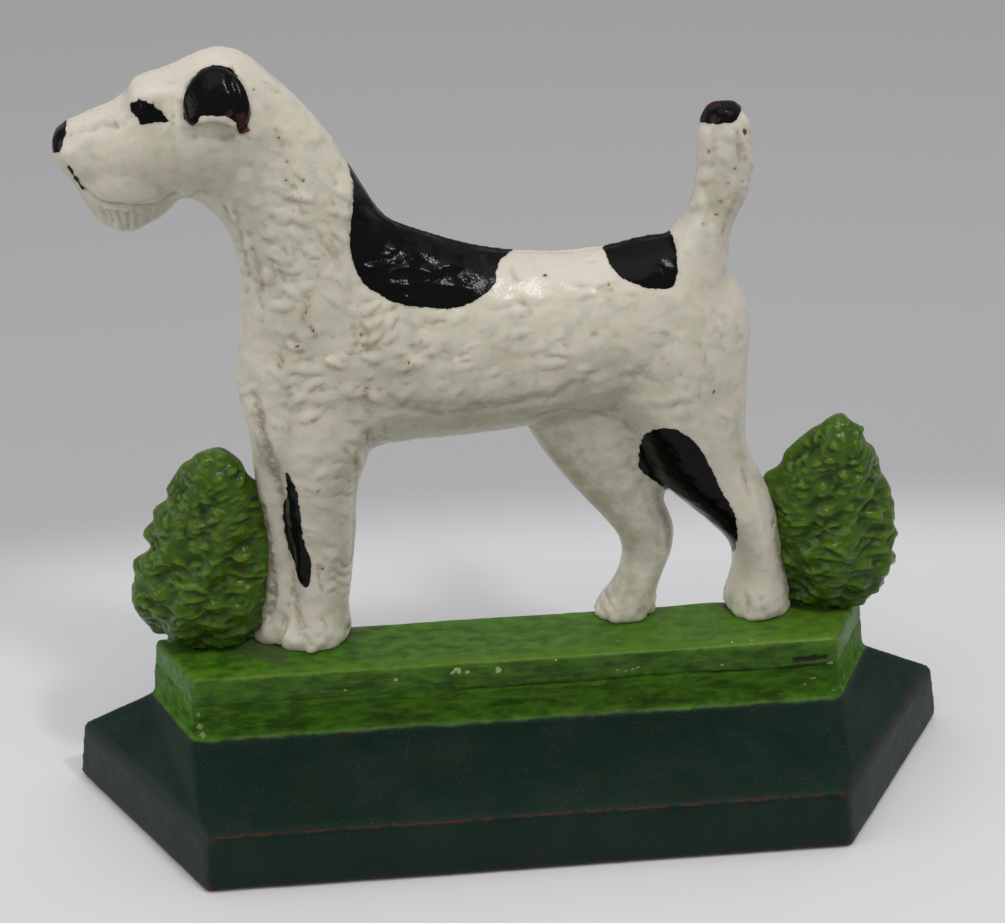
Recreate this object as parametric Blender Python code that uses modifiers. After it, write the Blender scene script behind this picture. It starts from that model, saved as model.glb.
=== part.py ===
# Cast iron terrier doorstop: a flat-backed relief dog between two clipped shrubs,
# on a turf slab that is screwed to a stepped, hollow base casting.
# Metres, +Z up. The flat back faces +Y and the dog's nose points towards -X.

import math

import bmesh
import bpy
from mathutils import Matrix, Vector

MM = 0.001

# Driving dimensions, all in millimetres

dog_height = 175.3          # paws to the top of the skull
dog_relief = 21.0           # flat back to the fullest part of the rib cage
dog_wall = 5.0              # iron left in front of the hollow back
shrub_height = 62.5
shrub_relief = 14.5
shrub_wall = 6.0
leaf_size = 3.5             # radius of one clump of leaves
leaf_clumps = 84            # over one shrub

turf_depth = 24.3
turf_thickness = 8.0
turf_draft = 1.1            # how much the slab narrows from its foot to its top, each side
turf_end_taper = 0.50       # inward run of a slab end for each unit of depth
turf_round = 0.8
front_overhang = 4.5        # front shrub beyond the slab's end
rear_overhang = 9.4         # rear shrub beyond the slab's end

band_height = 18.0
slope_height = 9.5
step_height = 10.0
step_draft = 1.1            # how much the green step narrows towards the slab, each side
base_depth = 59.5
base_ledge = 25.0           # base beyond the slab's end at the back, at the floor
base_end_taper = 0.647      # inward run of a base end for each unit of depth
band_front_draft = 1.4
band_end_draft = 2.8
base_wall = 4.5
deck_thickness = 4.5
base_round = 1.6
roof_share = 0.85           # thickness over the band as a share of the base's wall

figure_screw_diameter = 3.5
slab_screw_diameter = 4.0
screw_head_ratio = 1.75     # head diameter over shank diameter
screw_head_height = 2.3
slot_width = 1.0
slot_depth = 1.1
washer_ratio = 2.05         # washer diameter over shank diameter
washer_thickness = 0.8
foot_screw_grip = 9.0       # length of shank inside a foot or a shrub
slab_screw_grip = 5.6       # length of shank inside the slab
boss_height = 2.0
boss_rim = 1.5              # boss beyond its washer, each side

# Fineness of the fused meshes

dog_voxel = 1.5
core_voxel = 2.2
shrub_voxel = 1.1

# Clearances

run_on = 2.0                # how far a rounded block runs past a joint before it is cut flat
seat_gap = 0.3              # between pieces that rest on each other
side_gap = 0.45             # between a shrub and the leg it nestles against
hole_gap = 0.25             # round a screw's shank, on the radius
pocket_gap = 0.6            # round a washer in its counterbore, on the radius
head_gap = 0.5              # between a screw's head and the deck below it
overrun = 1.0               # how far a cutter runs past the face that it opens
cutter_setback = 0.2        # keeps the corners of a cutter off the plane of the back

# Heights above the floor, worked out from the sizes above

slope_top = band_height + slope_height
deck_top = slope_top + step_height
slab_bottom = deck_top + seat_gap
slab_top = slab_bottom + turf_thickness
figure_bottom = slab_top + seat_gap
back_y = base_depth / 2

# The dog was drawn 175.3 mm tall with 21 mm of relief. Each station below is one cross
# section: two points of the outline at the flat back, x and height over the slab, and how
# far the form stands forward of the back between them.

DRAWN_DOG_HEIGHT = 175.3
DRAWN_DOG_RELIEF = 21.0

TORSO = (
    (-63, 72, -60, 106, 13.0),
    (-56, 60, -52, 121, 18.0),
    (-43, 59.5, -40, 130.5, 20.5),
    (-26, 61.3, -25, 124.5, 21.0),
    (-8, 62.5, -8, 118, 21.0),
    (10, 64.5, 10, 114.8, 20.0),
    (27, 68, 27, 115.2, 19.0),
    (41, 72, 42, 117.8, 18.0),
    (54, 76, 55, 112, 15.0),
    (61, 82, 61, 101.5, 11.0),
)
CHEST = (
    (-67.5, 112, -50, 112, 12.0),
    (-69.5, 100, -48, 100, 14.5),
    (-71.2, 88, -48, 88, 16.0),
    (-70.8, 76, -48, 76, 16.5),
    (-69.0, 65, -48, 66, 15.5),
    (-66.8, 56, -48, 58, 12.5),
)
NECK = (
    (-67, 74, -14, 104, 18.5),
    (-69, 86, -22, 116, 19.5),
    (-69.3, 100, -31, 129, 18.8),
    (-68.2, 113, -37.5, 141, 17.3),
    (-71, 126, -43.5, 152, 16.0),
    (-76, 133, -51, 162, 15.5),
    (-80, 137, -60, 171, 15.0),
)
HEAD = (
    (-58, 136, -52, 162, 13.5),
    (-66, 134, -62, 173.2, 15.5),
    (-74, 135, -70.5, 175.6, 16.5),
    (-82, 136, -79, 172.5, 15.5),
    (-90, 137, -88.5, 168.3, 13.5),
    (-97, 137, -96, 163.0, 12.0),
    (-103, 138, -103, 160.4, 11.0),
    (-108.5, 142, -108.5, 158.0, 9.0),
    (-112.4, 148, -112.4, 155.8, 6.0),
)
MUZZLE = (
    (-109, 146, -80, 143, 12.5),
    (-108.5, 141, -81, 138.5, 12.5),
    (-106, 137.5, -83, 135.5, 10.0),
)
BEARD = (
    (-108, 140, -81, 138, 9.0),
    (-107, 135.5, -83, 133.5, 8.0),
    (-104.5, 131, -87, 130.5, 6.5),
    (-100, 128, -92, 128, 4.5),
)
BROW = (
    (-94.5, 159, -91.5, 167.6, 9.5),
    (-91, 159, -88.5, 169.6, 12.0),
    (-86, 160, -84.5, 170.4, 12.5),
)
TAIL = (
    (42, 106, 60.5, 99, 13.0),
    (44, 117, 59.8, 110, 12.5),
    (48, 122.5, 60.8, 118.5, 11.0),
    (50.7, 129, 64.2, 127, 10.0),
    (51.2, 138, 67.0, 137, 9.5),
    (51.4, 146, 66.0, 146, 9.0),
    (52.5, 151.0, 64.0, 151.0, 8.0),
    (54.5, 154.2, 61.5, 154.2, 6.5),
)
NEAR_FRONT_LEG = (
    (-64, 92, -30, 98, 15.0),
    (-66, 78, -29, 82, 18.5),
    (-66, 66, -33, 69, 19.0),
    (-65, 56, -38, 57, 17.5),
    (-63.5, 46, -41, 47, 15.5),
    (-62.5, 34, -42, 34.5, 13.5),
    (-62.5, 20, -43.5, 20, 12.0),
    (-63.5, 10, -45, 10, 12.0),
    (-65, 4, -45, 4, 14.0),
    (-65, -5, -45, -5, 14.0),
)
FAR_FRONT_LEG = (
    (-70.5, 76, -50, 76, 10.0),
    (-69.5, 60, -54, 60, 9.0),
    (-69, 40, -56, 40, 7.5),
    (-69, 20, -57, 20, 7.0),
    (-70, 6, -57, 6, 8.0),
    (-70.5, -5, -57, -5, 8.5),
)
NEAR_HIND_LEG = (
    (24, 106, 58, 109.5, 13.5),
    (22, 92, 66, 98, 18.0),
    (24, 79, 67, 84, 19.5),
    (31, 66, 66.5, 71, 19.0),
    (37.5, 53, 66.5, 60, 17.5),
    (43.0, 43.5, 67.5, 52, 16.0),
    (50.0, 36.2, 71, 44.5, 14.5),
    (57.8, 28, 75, 36, 13.5),
    (63, 21, 77.5, 26, 12.5),
    (64, 13, 79, 15, 12.0),
    (62, 5, 81, 6, 13.0),
    (61, -5, 81.5, -5, 13.0),
)
FAR_HIND_LEG = (
    (2, 78, 42, 92, 9.0),
    (5, 64, 45, 74, 9.0),
    (12, 51, 44.5, 58, 8.6),
    (20, 40, 43.8, 46, 8.2),
    (27, 31.5, 44.6, 36, 7.8),
    (31.7, 24, 47.6, 27.5, 7.6),
    (32, 17, 47.0, 20, 7.6),
    (29.5, 10, 44.0, 12, 8.2),
    (25.0, 4, 42.5, 5, 9.6),
    (23.5, -5, 42.5, -5, 9.8),
)
DOG_FORMS = (
    TORSO, CHEST, NECK, HEAD, BROW, MUZZLE, BEARD, TAIL,
    NEAR_FRONT_LEG, FAR_FRONT_LEG, NEAR_HIND_LEG, FAR_HIND_LEG,
)
HOLLOW_FORMS = (TORSO[1:-1], NECK, HEAD[1:7], NEAR_FRONT_LEG[0:3], NEAR_HIND_LEG[0:4])

# The folded ear: its centre, half width, half height, half thickness and lean
EAR_CENTRE = (-70.0, 165.2, 14.4)
EAR_HALF = (8.1, 9.0, 3.6)
EAR_LEAN = 27
EAR_HOLLOW = (-71.4, 152.0, 10.4)     # centre x, centre height and radius of the arc under it

# A shrub's stations: height, inner edge and outer edge as distances outward from the line
# where it meets the leg, and how far it stands forward. Drawn 62.5 mm tall.

DRAWN_SHRUB_HEIGHT = 62.5
DRAWN_SHRUB_RELIEF = 14.5
FRONT_SHRUB = (
    (-4, 7.0, 28.3, 11.6),
    (1, 4.5, 29.8, 12.0),
    (7, 0.5, 34.2, 12.5),
    (14, -2.0, 37.6, 14.3),
    (23, -2.8, 36.2, 14.5),
    (33, -2.8, 31.4, 13.5),
    (42, -1.6, 28.2, 12.0),
    (50, 0.0, 23.6, 10.5),
    (56.5, 2.4, 19.8, 9.0),
    (61.5, 5.8, 13.2, 6.0),
)
REAR_SHRUB = (
    (-4, 5.5, 27.8, 11.6),
    (1, 4.0, 28.8, 12.0),
    (5.5, 3.0, 32.5, 12.8),
    (13.5, 2.5, 37.4, 14.3),
    (24, 1.3, 36.8, 14.5),
    (33, -2.2, 33.8, 13.5),
    (41, -1.8, 29.9, 12.0),
    (48.5, 4.0, 28.4, 10.5),
    (54.5, 9.0, 25.6, 9.0),
    (60.3, 14.6, 21.6, 6.0),
)

# Where the screws stand, in the dog's and the shrubs' drawn sizes: x or outward distance,
# and distance forward of the flat back
NEAR_FRONT_PAW = (-54.5, 6.6)
FAR_HIND_PAW = (34.0, 5.4)
NEAR_HIND_PAW = (71.5, 6.4)
SHRUB_ROOT = (18.4, 5.3)

dog_scale = dog_height / DRAWN_DOG_HEIGHT
dog_depth_scale = dog_relief / DRAWN_DOG_RELIEF
shrub_scale = shrub_height / DRAWN_SHRUB_HEIGHT
shrub_depth_scale = shrub_relief / DRAWN_SHRUB_RELIEF

# The shrubs stand against the outer legs, the slab reaches under the shrubs and the base
# reaches past the slab, so the plan follows the dog

front_leg_edge = FAR_FRONT_LEG[3][0] * dog_scale
rear_leg_edge = NEAR_HIND_LEG[7][2] * dog_scale
front_shrub_line = front_leg_edge - side_gap
rear_shrub_line = rear_leg_edge + side_gap
front_shrub_end = front_shrub_line - FRONT_SHRUB[3][2] * shrub_scale
rear_shrub_end = rear_shrub_line + REAR_SHRUB[3][2] * shrub_scale
slab_front_end = front_shrub_end + front_overhang
slab_rear_end = rear_shrub_end - rear_overhang
slab_half = (slab_rear_end - slab_front_end) / 2
centre_x = (slab_rear_end + slab_front_end) / 2
base_half = slab_half + base_ledge

# Scene and materials


def clear_scene():
    for item in list(bpy.data.objects):
        bpy.data.objects.remove(item)


def new_collection(name):
    group = bpy.data.collections.new(name)
    bpy.context.scene.collection.children.link(group)
    return group


def finish_material(name, colour, roughness, metallic):
    material = bpy.data.materials.new(name)
    material.use_nodes = True
    shader = material.node_tree.nodes["Principled BSDF"]
    shader.inputs["Base Color"].default_value = (*colour, 1.0)
    shader.inputs["Roughness"].default_value = roughness
    shader.inputs["Metallic"].default_value = metallic
    return material


clear_scene()
parts = new_collection("cast_iron_doorstop")
cutters = new_collection("cutters")

cream_paint = finish_material("cream_paint", (0.70, 0.67, 0.55), 0.35, 0.0)
leaf_paint = finish_material("leaf_paint", (0.08, 0.25, 0.02), 0.25, 0.0)
turf_paint = finish_material("turf_paint", (0.09, 0.26, 0.02), 0.40, 0.0)
base_paint = finish_material("base_paint", (0.012, 0.055, 0.045), 0.50, 0.0)
screw_steel = finish_material("screw_steel", (0.28, 0.26, 0.24), 0.45, 1.0)

assembly = bpy.data.objects.new("assembly", None)
assembly.location = (-centre_x * MM, back_y * MM, 0)
parts.objects.link(assembly)

# Meshes and modifiers. A point is given as x along the base, distance forward of the flat
# back, and height over the floor, all in millimetres.


def point(x, forward, height):
    return Vector((x * MM, -forward * MM, height * MM))


def add_object(name, mesh, collection, material=None):
    item = bpy.data.objects.new(name, mesh)
    item.parent = assembly
    collection.objects.link(item)
    if material:
        mesh.materials.append(material)
    return item


def mesh_from(bm, name):
    bmesh.ops.recalc_face_normals(bm, faces=bm.faces)
    mesh = bpy.data.meshes.new(name)
    bm.to_mesh(mesh)
    bm.free()
    return mesh


def add_cutter(name, mesh):
    item = add_object(name, mesh, cutters)
    item.hide_render = True
    item.display_type = "WIRE"
    return item


def boolean(item, other, operation):
    cut = item.modifiers.new(operation.lower() + "_" + other.name, "BOOLEAN")
    cut.operation = operation
    cut.solver = "EXACT"
    cut.object = other
    return cut


def soften(item, voxel, passes, kept):
    """Fuses an object's overlapping forms, rounds their creases and keeps a share of the faces."""
    fuse = item.modifiers.new("fuse", "REMESH")
    fuse.mode = "VOXEL"
    fuse.voxel_size = voxel * MM
    blend = item.modifiers.new("blend", "SMOOTH")
    blend.factor = 0.5
    blend.iterations = passes
    thin = item.modifiers.new("thin", "DECIMATE")
    thin.ratio = kept
    thin.use_collapse_triangulate = True


def box_mesh(name, low, high):
    """A box between two corners given as x, forward, height."""
    bm = bmesh.new()
    bmesh.ops.create_cube(bm, size=1.0)
    first = point(*low)
    second = point(*high)
    centre = (first + second) / 2
    size = [abs(b - a) for a, b in zip(first, second)]
    bmesh.ops.scale(bm, vec=size, verts=bm.verts)
    bmesh.ops.translate(bm, vec=centre, verts=bm.verts)
    return mesh_from(bm, name)


def cylinder_mesh(name, diameter, x, forward, low, high, sides=20):
    bm = bmesh.new()
    place = Matrix.Translation(point(x, forward, (low + high) / 2))
    bmesh.ops.create_cone(
        bm, cap_ends=True, segments=sides, radius1=diameter / 2 * MM,
        radius2=diameter / 2 * MM, depth=(high - low) * MM, matrix=place)
    return mesh_from(bm, name)


# Relief forms: lofts of D-shaped sections that stand on the flat back

SECTION_POINTS = 12
BEHIND = 6.0                # how far a form runs on behind the back before it is cut flat


def smooth_stations(stations, steps):
    """Catmull-Rom points through a list of stations."""
    result = []
    last = len(stations) - 1
    for i in range(last):
        before, start = stations[max(i - 1, 0)], stations[i]
        end, after = stations[i + 1], stations[min(i + 2, last)]
        for k in range(steps):
            t = k / steps
            row = []
            for a, b, c, d in zip(before, start, end, after):
                row.append(0.5 * (2 * b + (c - a) * t + (2 * a - 5 * b + 4 * c - d) * t * t
                                  + (3 * b - a - 3 * c + d) * t ** 3))
            result.append(tuple(row))
    result.append(tuple(stations[last]))
    return result


def d_section(station, inset, behind):
    """One section's points: a half ellipse forward of the back and a flat strip behind it."""
    x1, h1, x2, h2, forward = station
    centre = Vector(((x1 + x2) / 2, (h1 + h2) / 2))
    half = Vector(((x2 - x1) / 2, (h2 - h1) / 2))
    reach = max(half.length - inset, 0.5)
    across = half.normalized() * reach
    depth = max(forward - inset, 0.5)
    points = []
    for i in range(SECTION_POINTS + 1):
        angle = math.pi * i / SECTION_POINTS
        place = centre - across * math.cos(angle)
        points.append(point(place.x, depth * math.sin(angle), place.y))
    for side in (1, -1):
        place = centre + across * side
        points.append(point(place.x, -behind, place.y))
    return points


def add_loft(bm, stations, inset=0.0, behind=BEHIND, steps=3):
    """Skins D sections along a form and closes it with a flat cap at each end."""
    rows = smooth_stations(stations, steps)
    sections = [d_section(row, inset, behind) for row in rows]
    rings = [[bm.verts.new(p) for p in section] for section in sections]
    for ring, following in zip(rings, rings[1:]):
        count = len(ring)
        for i in range(count):
            j = (i + 1) % count
            bm.faces.new((ring[i], ring[j], following[j], following[i]))
    for ring, outward in ((rings[0], -1), (rings[-1], 1)):
        bm.faces.new(ring if outward < 0 else ring[::-1])


def scaled_dog(stations):
    """Stations of the dog in the slab's height and at the wanted size."""
    rows = []
    for x1, h1, x2, h2, forward in stations:
        rows.append((x1 * dog_scale, slab_top + h1 * dog_scale, x2 * dog_scale,
                     slab_top + h2 * dog_scale, forward * dog_depth_scale))
    return rows


def forms_mesh(name, forms, inset=0.0, behind=BEHIND, setback=0.0):
    bm = bmesh.new()
    for form in forms:
        add_loft(bm, scaled_dog(form), inset, behind)
    bmesh.ops.translate(bm, vec=point(0, -setback, 0), verts=bm.verts)
    return mesh_from(bm, name)


REACH = 400.0               # larger than anything here, for cutters that clear a whole side


def back_cutter(name):
    """Everything behind the flat back."""
    return add_cutter(name, box_mesh(name, (-REACH, -REACH, -REACH), (REACH, 0, REACH)))


def floor_cutter(name, height):
    """Everything below a height."""
    return add_cutter(name, box_mesh(name, (-REACH, -REACH, -REACH), (REACH, REACH, height)))


behind_back = back_cutter("behind_back")
below_figures = floor_cutter("below_figures", figure_bottom)

# Screws and washers


def turned(name, profile, material, steps=16):
    """A turned piece about the vertical: a profile of radius and height, outer side down."""
    mesh = bpy.data.meshes.new(name)
    vertices = [(radius * MM, 0, height * MM) for radius, height in profile]
    edges = [(i, i + 1) for i in range(len(profile) - 1)]
    mesh.from_pydata(vertices, edges, [])
    item = add_object(name, mesh, parts, material)
    spin = item.modifiers.new("turn", "SCREW")
    spin.steps = steps
    spin.render_steps = steps
    spin.use_merge_vertices = True
    spin.merge_threshold = 0.00001
    return item


def slotted_screw(name, x, forward, seat, diameter, length):
    """A cheese head screw driven from below. The underside of its head is at seat."""
    shank = diameter / 2
    head = diameter * screw_head_ratio / 2
    tip = 0.5
    crown = 0.35
    profile = (
        (0, length), (shank - tip, length), (shank, length - tip), (shank, 0),
        (head, 0), (head, -screw_head_height + crown), (head - crown, -screw_head_height),
        (0, -screw_head_height))
    item = turned(name, profile, screw_steel)
    item.location = point(x, forward, seat)
    end = seat - screw_head_height
    low = (x - head - overrun, forward - slot_width / 2, end - overrun)
    high = (x + head + overrun, forward + slot_width / 2, end + slot_depth)
    slot = add_cutter(name + "_slot", box_mesh(name + "_slot", low, high))
    boolean(item, slot, "DIFFERENCE")
    return item


def washer(name, x, forward, top, diameter):
    inner = diameter / 2 + hole_gap
    outer = diameter * washer_ratio / 2
    profile = (
        (inner, 0), (outer, 0), (outer, -washer_thickness), (inner, -washer_thickness),
        (inner, 0))
    item = turned(name, profile, screw_steel)
    item.location = point(x, forward, top)
    return item


def fastener(name, x, forward, surface, diameter, length):
    """A washer under a surface and a screw through it. Length is measured from the surface."""
    washer(name + "_washer", x, forward, surface - seat_gap, diameter)
    seat = surface - seat_gap - washer_thickness - seat_gap
    slotted_screw(name + "_screw", x, forward, seat, diameter, length + surface - seat)


# The dog: lofted forms fused into one casting, hollow behind, with a folded drop ear


def ear_mesh():
    x, height, forward = EAR_CENTRE
    half_x, half_height, half_forward = EAR_HALF
    bm = bmesh.new()
    bmesh.ops.create_uvsphere(bm, u_segments=20, v_segments=12, radius=MM)
    scale = Matrix.Diagonal((half_x * dog_scale, half_forward * dog_depth_scale,
                             half_height * dog_scale, 1))
    lean = Matrix.Rotation(math.radians(-EAR_LEAN), 4, "X")
    place = Matrix.Translation(point(x * dog_scale, forward * dog_depth_scale,
                                     slab_top + height * dog_scale))
    bmesh.ops.transform(bm, matrix=place @ lean @ scale, verts=bm.verts)
    return mesh_from(bm, "ear")


def make_dog():
    dog = add_object("dog_casting", forms_mesh("dog_casting", DOG_FORMS), parts, cream_paint)
    soften(dog, dog_voxel, passes=5, kept=0.09)

    ear = add_cutter("ear", ear_mesh())
    x, height, radius = EAR_HOLLOW
    bm = bmesh.new()
    turn = Matrix.Rotation(math.radians(90), 4, "X")
    place = Matrix.Translation(point(x * dog_scale, dog_relief, slab_top + height * dog_scale))
    bmesh.ops.create_cone(
        bm, cap_ends=True, segments=24, radius1=radius * dog_scale * MM,
        radius2=radius * dog_scale * MM, depth=2 * dog_relief * MM, matrix=place @ turn)
    arc = add_cutter("ear_arc", mesh_from(bm, "ear_arc"))
    boolean(ear, arc, "DIFFERENCE")
    boolean(dog, ear, "UNION")

    boolean(dog, behind_back, "DIFFERENCE")
    boolean(dog, below_figures, "DIFFERENCE")
    core = add_cutter("dog_core", forms_mesh("dog_core", HOLLOW_FORMS, dog_wall, BEHIND + 2))
    soften(core, core_voxel, passes=4, kept=0.12)
    boolean(dog, core, "DIFFERENCE")
    return dog


# The shrubs: clumps of leaves all over a tapered relief body

GOLDEN_TURN = (math.sqrt(5) - 1) / 2    # spreads the clumps without rows or columns
CLUMP_STRETCH = (1.15, 1.0, 0.8)        # of a clump, across, forward and up
CLUMP_SINK = 0.8                        # of leaf_size, how deep a clump sits in the body
CLUMP_FOOT = 1.2                        # of leaf_size, from the slab to the lowest clump
CLUMP_DROOP = 0.5                       # radians by which the outermost clumps hang outward
HEIGHT_SCATTER = (0.3, 5.1)             # of leaf_size, and the sine's step from clump to clump
TURN_SCATTER = (0.06, 7.3)              # of half a turn, and the step
SIZE_SCATTER = (0.2, 2.3)               # of leaf_size, and the step


def shrub_stations(drawn, line, outward, inset=0.0):
    rows = []
    for height, inner, outer, forward in drawn:
        x1 = line + outward * (inner + inset) * shrub_scale
        x2 = line + outward * (outer - inset) * shrub_scale
        level = slab_top + height * shrub_scale
        rows.append((x1, level, x2, level, (forward - inset) * shrub_depth_scale))
    return rows


def section_at(stations, level):
    """The section of a shrub at a height, between its two nearest stations."""
    for low, high in zip(stations, stations[1:]):
        if low[1] <= level <= high[1]:
            t = (level - low[1]) / (high[1] - low[1])
            return [a + (b - a) * t for a, b in zip(low, high)]
    return list(stations[-1])


def add_clump(bm, place, size, lean):
    """One rounded clump of leaves, wider than tall and drooping outward."""
    shape = Matrix.Diagonal((*[size * share for share in CLUMP_STRETCH], 1))
    matrix = Matrix.Translation(place) @ Matrix.Rotation(lean, 4, "Y") @ shape
    bmesh.ops.create_icosphere(bm, subdivisions=2, radius=MM, matrix=matrix)


def scatter(rule, i):
    """A small offset that differs from clump to clump."""
    amount, step = rule
    return amount * math.sin(step * i)


def make_shrub(name, drawn, line, outward, leg):
    body = shrub_stations(drawn, line, outward, inset=leaf_size * CLUMP_SINK)
    bm = bmesh.new()
    add_loft(bm, body, steps=2)
    top = body[-1][1] - leaf_size
    bottom = slab_top + leaf_size * CLUMP_FOOT
    for i in range(leaf_clumps):
        level = bottom + (top - bottom) * i / (leaf_clumps - 1)
        level += leaf_size * scatter(HEIGHT_SCATTER, i)
        x1, _, x2, _, forward = section_at(body, level)
        half = abs(x2 - x1) / 2
        middle = (x1 + x2) / 2
        angle = math.pi * ((i * GOLDEN_TURN + scatter(TURN_SCATTER, i)) % 1)
        size = leaf_size * (1 + scatter(SIZE_SCATTER, i))
        place = point(middle - half * math.cos(angle), forward * math.sin(angle), level)
        add_clump(bm, place, size, -CLUMP_DROOP * math.cos(angle))
    shrub = add_object(name, mesh_from(bm, name), parts, leaf_paint)
    soften(shrub, shrub_voxel, passes=3, kept=0.13)
    boolean(shrub, behind_back, "DIFFERENCE")
    boolean(shrub, below_figures, "DIFFERENCE")
    boolean(shrub, leg, "DIFFERENCE")

    hollow = shrub_stations(drawn[3:-2], line, outward, inset=shrub_wall)
    bm = bmesh.new()
    add_loft(bm, hollow, steps=2)
    bmesh.ops.translate(bm, vec=point(0, -cutter_setback, 0), verts=bm.verts)
    pocket = add_cutter(name + "_core", mesh_from(bm, name + "_core"))
    boolean(shrub, pocket, "DIFFERENCE")
    return shrub


# Plan outlines of the slab and the base: a trapezoid with its long side at the back


def trapezoid(back_half, depth, taper, level, inset=0.0):
    """Corners of a plan outline, drawn in from its sides by inset."""
    run = math.hypot(1.0, taper)
    front = depth - inset
    back = inset
    corners = []
    for side, forward in ((-1, back), (1, back), (1, front), (-1, front)):
        x = back_half - taper * forward - inset * run
        corners.append(point(centre_x + side * x, forward, level))
    return corners


def shrunk_level(back_half, depth, taper, level, draft):
    """A plan outline drawn in by a draft, from the sides and from the front but not the back."""
    return trapezoid(back_half - draft, depth - draft, taper, level)


def plan_loft(name, levels):
    """Skins plan outlines from the lowest to the highest."""
    bm = bmesh.new()
    rings = [[bm.verts.new(corner) for corner in level] for level in levels]
    for ring, following in zip(rings, rings[1:]):
        for i in range(4):
            j = (i + 1) % 4
            bm.faces.new((ring[i], ring[j], following[j], following[i]))
    bm.faces.new(rings[0][::-1])
    bm.faces.new(rings[-1])
    return mesh_from(bm, name)


def round_edges(item, width, segments=2):
    bevel = item.modifiers.new("round", "BEVEL")
    bevel.width = width * MM
    bevel.segments = segments
    bevel.limit_method = "ANGLE"
    bevel.angle_limit = math.radians(10)


def drill(item, name, diameter, x, forward, low, high):
    hole = add_cutter(name, cylinder_mesh(name, diameter, x, forward, low, high))
    boolean(item, hole, "DIFFERENCE")


# Positions of the screws, x and distance forward of the back

near_front_paw = (NEAR_FRONT_PAW[0] * dog_scale, NEAR_FRONT_PAW[1] * dog_depth_scale)
far_hind_paw = (FAR_HIND_PAW[0] * dog_scale, FAR_HIND_PAW[1] * dog_depth_scale)
near_hind_paw = (NEAR_HIND_PAW[0] * dog_scale, NEAR_HIND_PAW[1] * dog_depth_scale)
root_forward = SHRUB_ROOT[1] * shrub_depth_scale
front_root = (front_shrub_line - SHRUB_ROOT[0] * shrub_scale, root_forward)
rear_root = (rear_shrub_line + SHRUB_ROOT[0] * shrub_scale, root_forward)

figure_screws = {
    "front_shrub": front_root,
    "front_paw": near_front_paw,
    "far_hind_paw": far_hind_paw,
    "near_hind_paw": near_hind_paw,
    "rear_shrub": rear_root,
}
slab_screw_forward = turf_depth / 2
slab_screws = {
    "slab_front": ((front_root[0] + near_front_paw[0]) / 2, slab_screw_forward),
    "slab_middle": ((near_front_paw[0] + far_hind_paw[0]) / 2, slab_screw_forward),
    "slab_rear": ((far_hind_paw[0] + near_hind_paw[0]) / 2, slab_screw_forward),
}
pocket_depth = seat_gap + washer_thickness + seat_gap + screw_head_height + head_gap
pocket_top = slab_bottom + pocket_depth
deck_bottom = deck_top - deck_thickness
boss_bottom = deck_bottom - boss_height


def make_turf():
    spread = turf_draft * run_on / turf_thickness
    plan = (slab_half, turf_depth, turf_end_taper)
    levels = (
        shrunk_level(*plan, slab_bottom - run_on, -spread),
        shrunk_level(*plan, slab_top, turf_draft))
    turf = add_object("turf_slab", plan_loft("turf_slab", levels), parts, turf_paint)
    round_edges(turf, turf_round)
    boolean(turf, floor_cutter("below_slab", slab_bottom), "DIFFERENCE")
    pocket = figure_screw_diameter * washer_ratio + 2 * pocket_gap
    hole = figure_screw_diameter + 2 * hole_gap
    below = slab_bottom - overrun
    for name, (x, forward) in figure_screws.items():
        drill(turf, name + "_pocket", pocket, x, forward, below, pocket_top)
        drill(turf, name + "_way", hole, x, forward, below, slab_top + overrun)
    tapped = slab_screw_diameter + 2 * hole_gap
    for name, (x, forward) in slab_screws.items():
        drill(turf, name + "_tapped", tapped, x, forward, below,
              slab_bottom + slab_screw_grip + head_gap)
    return turf


def make_base():
    band_half = base_half - band_end_draft
    band_depth = base_depth - band_front_draft
    step_half = slab_half + step_draft
    step_depth = turf_depth + step_draft
    levels = (
        trapezoid(base_half, base_depth, base_end_taper, 0),
        trapezoid(band_half, band_depth, base_end_taper, band_height),
        trapezoid(step_half, step_depth, turf_end_taper, slope_top),
        shrunk_level(slab_half, turf_depth, turf_end_taper, deck_top + run_on,
                     step_draft * run_on / step_height))
    base = add_object("base_casting", plan_loft("base_casting", levels), parts, base_paint)
    round_edges(base, base_round)
    above_deck = box_mesh("above_deck", (-REACH, -REACH, deck_top), (REACH, REACH, REACH))
    boolean(base, add_cutter("above_deck", above_deck), "DIFFERENCE")
    inner = (
        trapezoid(base_half, base_depth, base_end_taper, -overrun, base_wall),
        trapezoid(band_half, band_depth, base_end_taper, band_height - base_wall * roof_share,
                  base_wall),
        trapezoid(step_half, step_depth, turf_end_taper, slope_top - base_wall, base_wall),
        trapezoid(slab_half, turf_depth, turf_end_taper, deck_bottom, base_wall))
    hollow = add_cutter("base_core", plan_loft("base_core", inner))
    boolean(base, hollow, "DIFFERENCE")
    boss = slab_screw_diameter * washer_ratio + 2 * boss_rim
    for name, (x, forward) in slab_screws.items():
        lump = add_cutter(name + "_boss", cylinder_mesh(
            name + "_boss", boss, x, forward, boss_bottom, deck_bottom + overrun))
        boolean(base, lump, "UNION")
    for name, (x, forward) in slab_screws.items():
        drill(base, name + "_clear", slab_screw_diameter + 2 * hole_gap, x, forward,
              boss_bottom - overrun, deck_top + overrun)
    return base


# Build



def leg_room(name, legs):
    """A cutter the shape of some legs and of the gap round them."""
    return add_cutter(name, forms_mesh(name, legs, -side_gap, setback=cutter_setback))


hind_room = leg_room("hind_leg_room", (NEAR_HIND_LEG,))
front_room = leg_room("front_leg_room", (FAR_FRONT_LEG, NEAR_FRONT_LEG))

dog_casting = make_dog()
shrub_front = make_shrub("shrub_front", FRONT_SHRUB, front_shrub_line, -1, front_room)
shrub_rear = make_shrub("shrub_rear", REAR_SHRUB, rear_shrub_line, 1, hind_room)
turf_slab = make_turf()
base_casting = make_base()

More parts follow.
